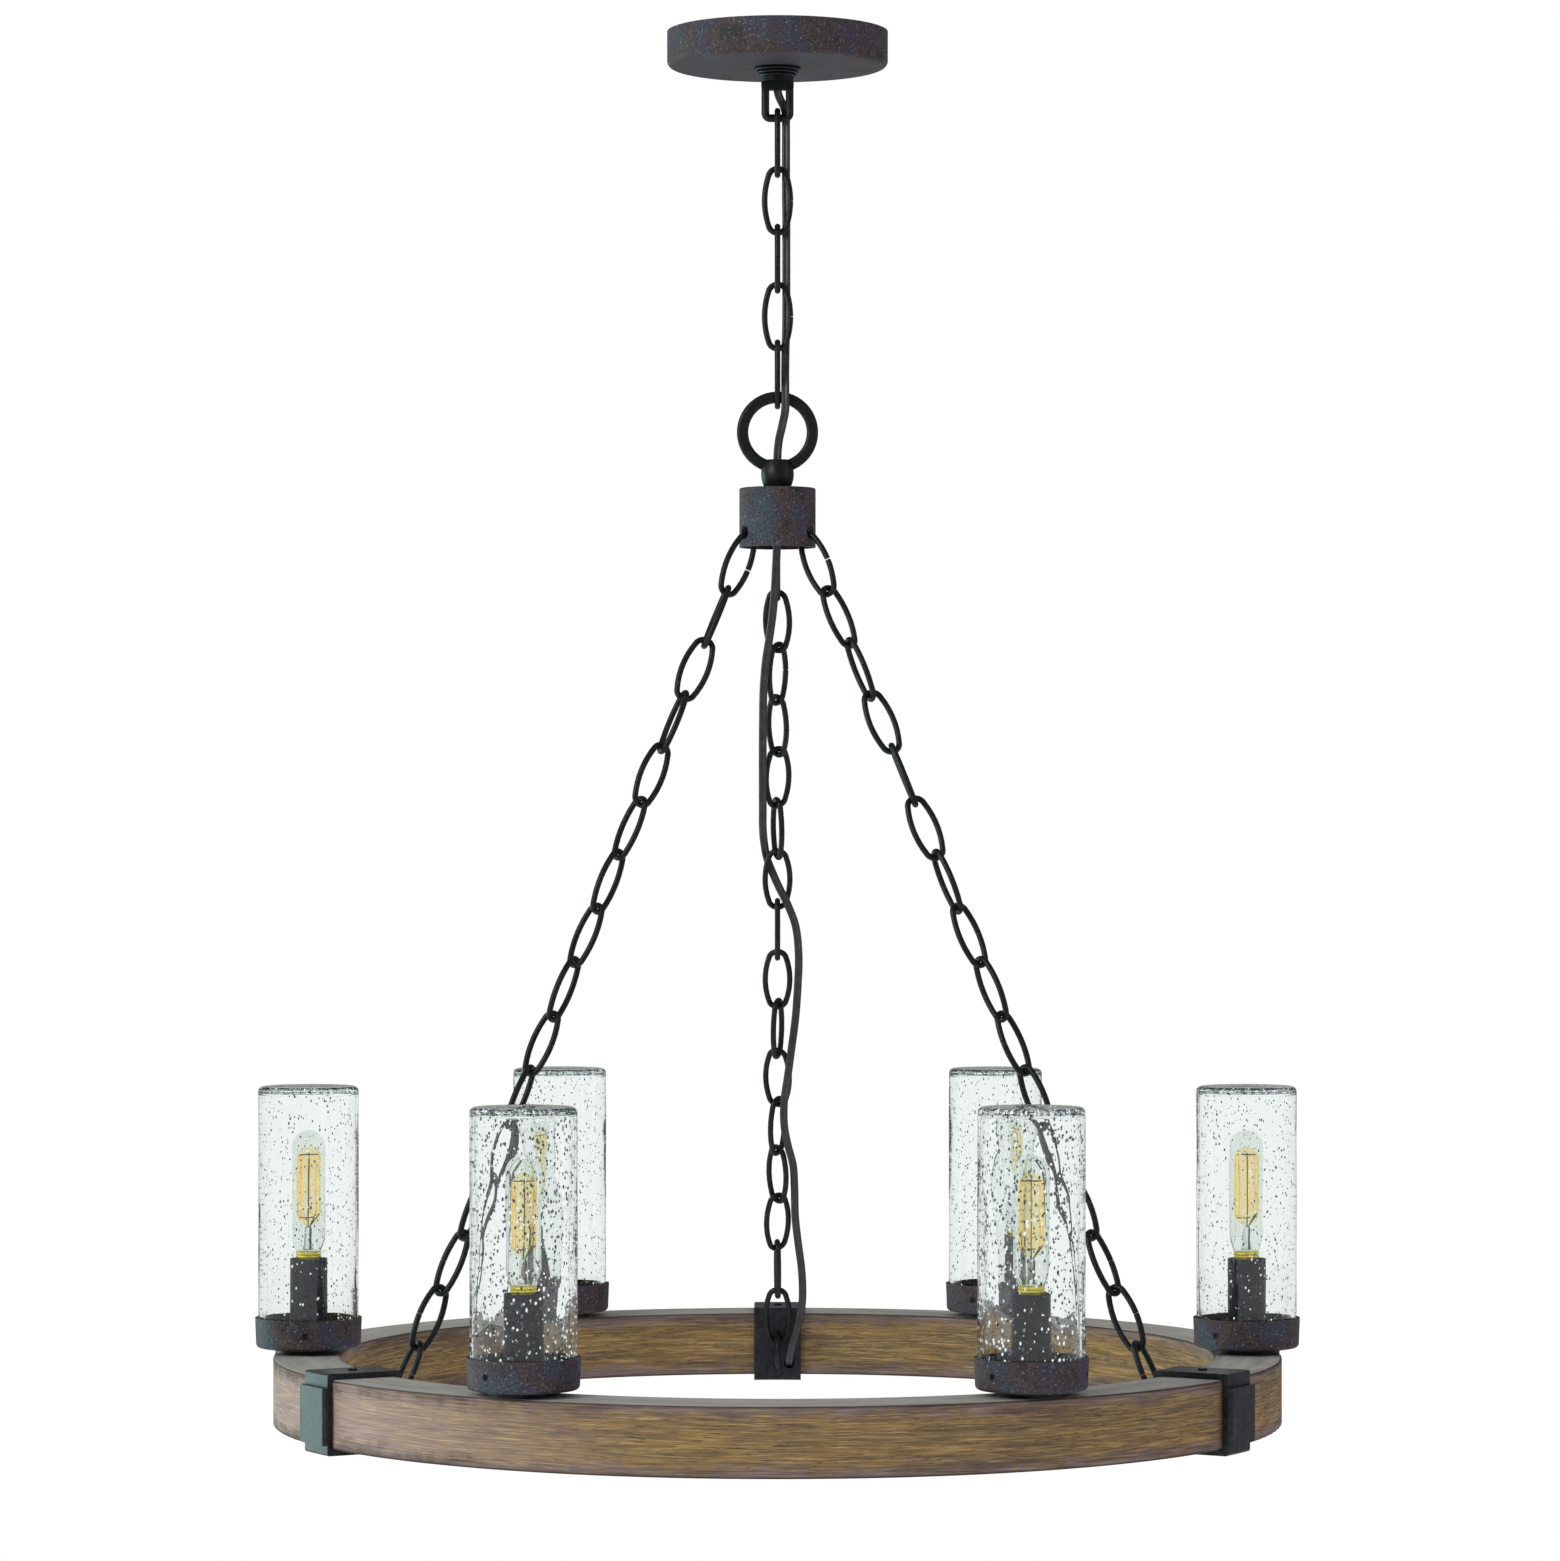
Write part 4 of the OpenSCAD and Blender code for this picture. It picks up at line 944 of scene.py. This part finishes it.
def wires(name, runs, thickness, finish_name):
    """Round wires along runs of points."""
    points, edges = [], []
    for run in runs:
        edges += [(len(points) + i, len(points) + i + 1) for i in range(len(run) - 1)]
        points += run
    mesh = bpy.data.meshes.new(name)
    mesh.from_pydata(points, edges, [])
    start = link_to_scene(bpy.data.objects.new(name, mesh))
    made = grow(name, wire_tree, start, Thickness=thickness / 2, Finish=FINISH[finish_name])
    made.data.shade_smooth()
    return made


# %% [markdown]
# The glass is a thin tube with a round end, drawn in to a neck where it was sealed. All heights in
# a bulb are counted from the foot of its glass.

# %% Outline the bulb's glass
BULB_WALL = 0.8 * MM
NECK_R = 7.9 * MM
NECK_H = 6 * MM
DOME = 84  # degrees of the round end, from its side to where it closes


def glass_outline(foot, top, r):
    """Down the outer side and up the inner one."""
    inner = r - BULB_WALL
    shoulder, drawn_in, neck = foot + NECK_H + 4 * MM, foot + NECK_H + 1.5 * MM, foot + 2.5 * MM
    outline = [(0, top)] + bend(0, top - r, r, DOME, 0, 10)
    outline += [(r, shoulder), (r - 0.3 * MM, drawn_in), (NECK_R + BULB_WALL, neck), (NECK_R, foot)]
    outline += [(NECK_R - BULB_WALL, foot), (NECK_R, neck), (inner - 0.3 * MM, drawn_in)]
    outline.append((inner, shoulder))
    return outline + bend(0, top - r, inner, 0, DOME, 10) + [(0, top - BULB_WALL)]


# %% [markdown]
# The filament stands as a cage of eight strands round the bulb's middle. The painted glow is a
# capsule a little larger than the cage, a warm veil in place of the filament's light in the glass.

# %% Outline the painted glow
CAGE_R = 6.8 * MM
CAGE_LOW = 21.2 * MM
CAGE_HIGH = 61.3 * MM
PAINTED_GLOW_GAP = 1.2 * MM
PAINTED_GLOW_BEND = 3 * MM  # the capsule's round ends begin this far in from the cage's ends
PAINTED_GLOW_END = 5 * MM  # and close this far out from them


def painted_glow_outline(foot):
    low_z, high_z, r = foot + CAGE_LOW, foot + CAGE_HIGH, CAGE_R + PAINTED_GLOW_GAP
    outline = [(0, high_z + PAINTED_GLOW_END)] + bend(0, high_z - PAINTED_GLOW_BEND, r, 80, 0)
    return outline + bend(0, low_z + PAINTED_GLOW_BEND, r, 0, -80) + [(0, low_z - PAINTED_GLOW_END)]


# %% [markdown]
# Under the glass sits a pressed brass collar with two ridges, and under that the screw cap. Its
# seven threads are plain rings here, as the socket hides them.

# %% Outline the brass
SKIRT_R = 8.3 * MM
SKIRT_H = 4.1 * MM
RIDGE = 1 * MM
RIDGES_AT = (0.27, 0.73)  # shares of the collar's height, downward
CAP_R = 7 * MM
CAP_DOWN = 21.5 * MM
THREADS = 7
THREAD_R = 0.9 * MM
THREAD_FIRST, THREAD_PITCH = 2.2, 2.6  # in millimetres, down from the collar
TIP = 1.2 * MM


def cap_outline(foot):
    skirt_low = foot - SKIRT_H
    cap_low = skirt_low - CAP_DOWN
    outline = [(0, foot + 0.3 * MM), (NECK_R - BULB_WALL, foot + 0.3 * MM)]
    outline.append((SKIRT_R - 0.7 * MM, foot))
    for share in RIDGES_AT:
        outline += bend(SKIRT_R - RIDGE, foot - SKIRT_H * share, RIDGE * 0.85, 75, -75, 4)
        outline.append((SKIRT_R - 1.9 * MM, foot - SKIRT_H * (share + 0.23)))
    outline += [(SKIRT_R - 0.7 * MM, skirt_low), (CAP_R, skirt_low)]
    for j in range(THREADS):
        z = skirt_low - (THREAD_FIRST + THREAD_PITCH * j) * MM
        outline += bend(CAP_R - THREAD_R, z, THREAD_R, 70, -70, 3)
    return outline + [(CAP_R - 2 * MM, cap_low), (2.5 * MM, cap_low - TIP), (0, cap_low - TIP)]


# %% [markdown]
# The stem is a glass tube, flared at its foot where it was sealed to the bulb, and thicker at its
# head where it was pinched round the wires.

# %% Outline the stem
STEM_H = 16 * MM


def stem_outline(foot):
    head = foot + STEM_H
    return [(0, head), (1.6 * MM, head), (2.3 * MM, head - 2 * MM),
            (2.2 * MM, foot + STEM_H * 0.45), (3.4 * MM, foot + 2 * MM),
            (3.6 * MM, foot + 0.4 * MM), (0, foot + 0.4 * MM)]


# %% [markdown]
# A rod stands on the stem, with a hook between each two strands, high and low by turns. The two
# lead wires come out of the stem and lean out to the first and the last strand.

# %% Lay the rod, the hooks and the lead wires
STRANDS = 8
STRAND_TURNS = [math.tau * j / STRANDS for j in range(STRANDS)]
HALF_LOOP = CAGE_R * math.sin(math.pi / STRANDS)  # half the way from one strand to the next
LEAD_R, LEAD_TURN = 1.2 * MM, 0.4  # where the lead wires stand in the stem


def around(centre, radius, turn, height):
    return (centre[0] + radius * math.cos(turn), centre[1] + radius * math.sin(turn), height)


def lead_runs(centre, foot):
    low_z, high_z = foot + CAGE_LOW, foot + CAGE_HIGH
    runs = [[(*centre, foot + STEM_H - 1 * MM), (*centre, high_z + 1 * MM)]]
    for j, turn in enumerate(STRAND_TURNS[:-1]):
        z = low_z if j % 2 else high_z
        runs.append([(*centre, z), around(centre, CAGE_R - 0.4 * MM, turn + math.pi / STRANDS, z)])
    for turn, side in ((STRAND_TURNS[0], 1), (STRAND_TURNS[-1], -1)):
        runs.append([around(centre, LEAD_R, side * LEAD_TURN, foot + 1 * MM),
                     around(centre, LEAD_R, side * LEAD_TURN, foot + STEM_H),
                     around(centre, CAGE_R, turn, low_z + HALF_LOOP)])
    return runs


# %% [markdown]
# The filament is one wire that goes up and down the cage, with a half circle over each hook.

# %% Lay the filament
LOOP_SHARES = (0.2, 0.4, 0.6, 0.8)


def filament_run(centre, foot):
    low_z, high_z = foot + CAGE_LOW + HALF_LOOP, foot + CAGE_HIGH - HALF_LOOP
    path = []
    for j, turn in enumerate(STRAND_TURNS):
        ends = [around(centre, CAGE_R, turn, low_z), around(centre, CAGE_R, turn, high_z)]
        path += ends[::-1] if j % 2 else ends
        if j < STRANDS - 1:
            z, up = (low_z, -1) if j % 2 else (high_z, 1)
            for share in LOOP_SHARES:
                path.append(around(centre, CAGE_R, turn + share * math.tau / STRANDS,
                                   z + up * HALF_LOOP * math.sin(math.pi * share)))
    return path


# %% Put the six bulbs together
LEAD_THICK = 0.8 * MM
FILAMENT_THICK = 0.5 * MM

for k in range(COUNT):
    number, body = k + 1, f"bulb_body_{k + 1}"
    glass_node, cap_node = f"bulb_glass_{number}", f"bulb_base_{number}"
    centre, low, high = middle_of(glass_node)
    foot, top, r = low.z, high.z, (high.x - low.x) / 2
    for part, outline, steps, replaced, finish_name, slot_name in (
        ("bulb", glass_outline(foot, top, r), MEDIUM, [glass_node], "bulb_glass", "bulb_glass"),
        ("painted_glow", painted_glow_outline(foot), SMALL, [], "painted_glow", "bulb_glass"),
        ("cap", cap_outline(foot), MEDIUM, [cap_node], "bulb_brass", "bulb_brass"),
        ("stem", stem_outline(foot), SMALL, [], "stem_glass", "bulb_brass"),
    ):
        piece = spin(f"{part}_{number}", outline, centre, steps)
        put(piece, body, replaced, finish_name)
    for part, runs, thickness, finish_name in (
        ("leads", lead_runs(centre, foot), LEAD_THICK, "lead_wire"),
        ("filament", [filament_run(centre, foot)], FILAMENT_THICK, "glow"),
    ):
        piece = wires(f"{part}_{number}", runs, thickness, finish_name)
        put(piece, body, [], finish_name)
print("six bulbs,", round(1000 * (top - foot), 1), "mm of glass each")

# %% [markdown]
# ## The screw collar
# The collar that holds the canopy up is turned brass work, painted black: three steps, each with a
# rounded lip, so that it reads as a stack of fine rings.

# %% Turn the collar
COLLAR_STEPS = 3
STEP_IN = 1.45 * MM
COLLAR_BORE = 10.5 * MM
LIP_ARC = 85  # degrees up and down from the middle of a lip

centre, low, high = middle_of("screw_collar")
lip = (high.z - low.z) / (2 * COLLAR_STEPS)
outline = [(COLLAR_BORE, high.z)]
for j in range(COLLAR_STEPS):
    reach = (high.x - low.x) / 2 - j * STEP_IN
    outline += bend(reach - lip, high.z - lip * (2 * j + 1), lip, LIP_ARC, -LIP_ARC)
outline += [(COLLAR_BORE, low.z)]
collar = spin("collar", outline, centre, ring=True)
put(collar, "canopy_body", ["screw_collar"], "black_iron")
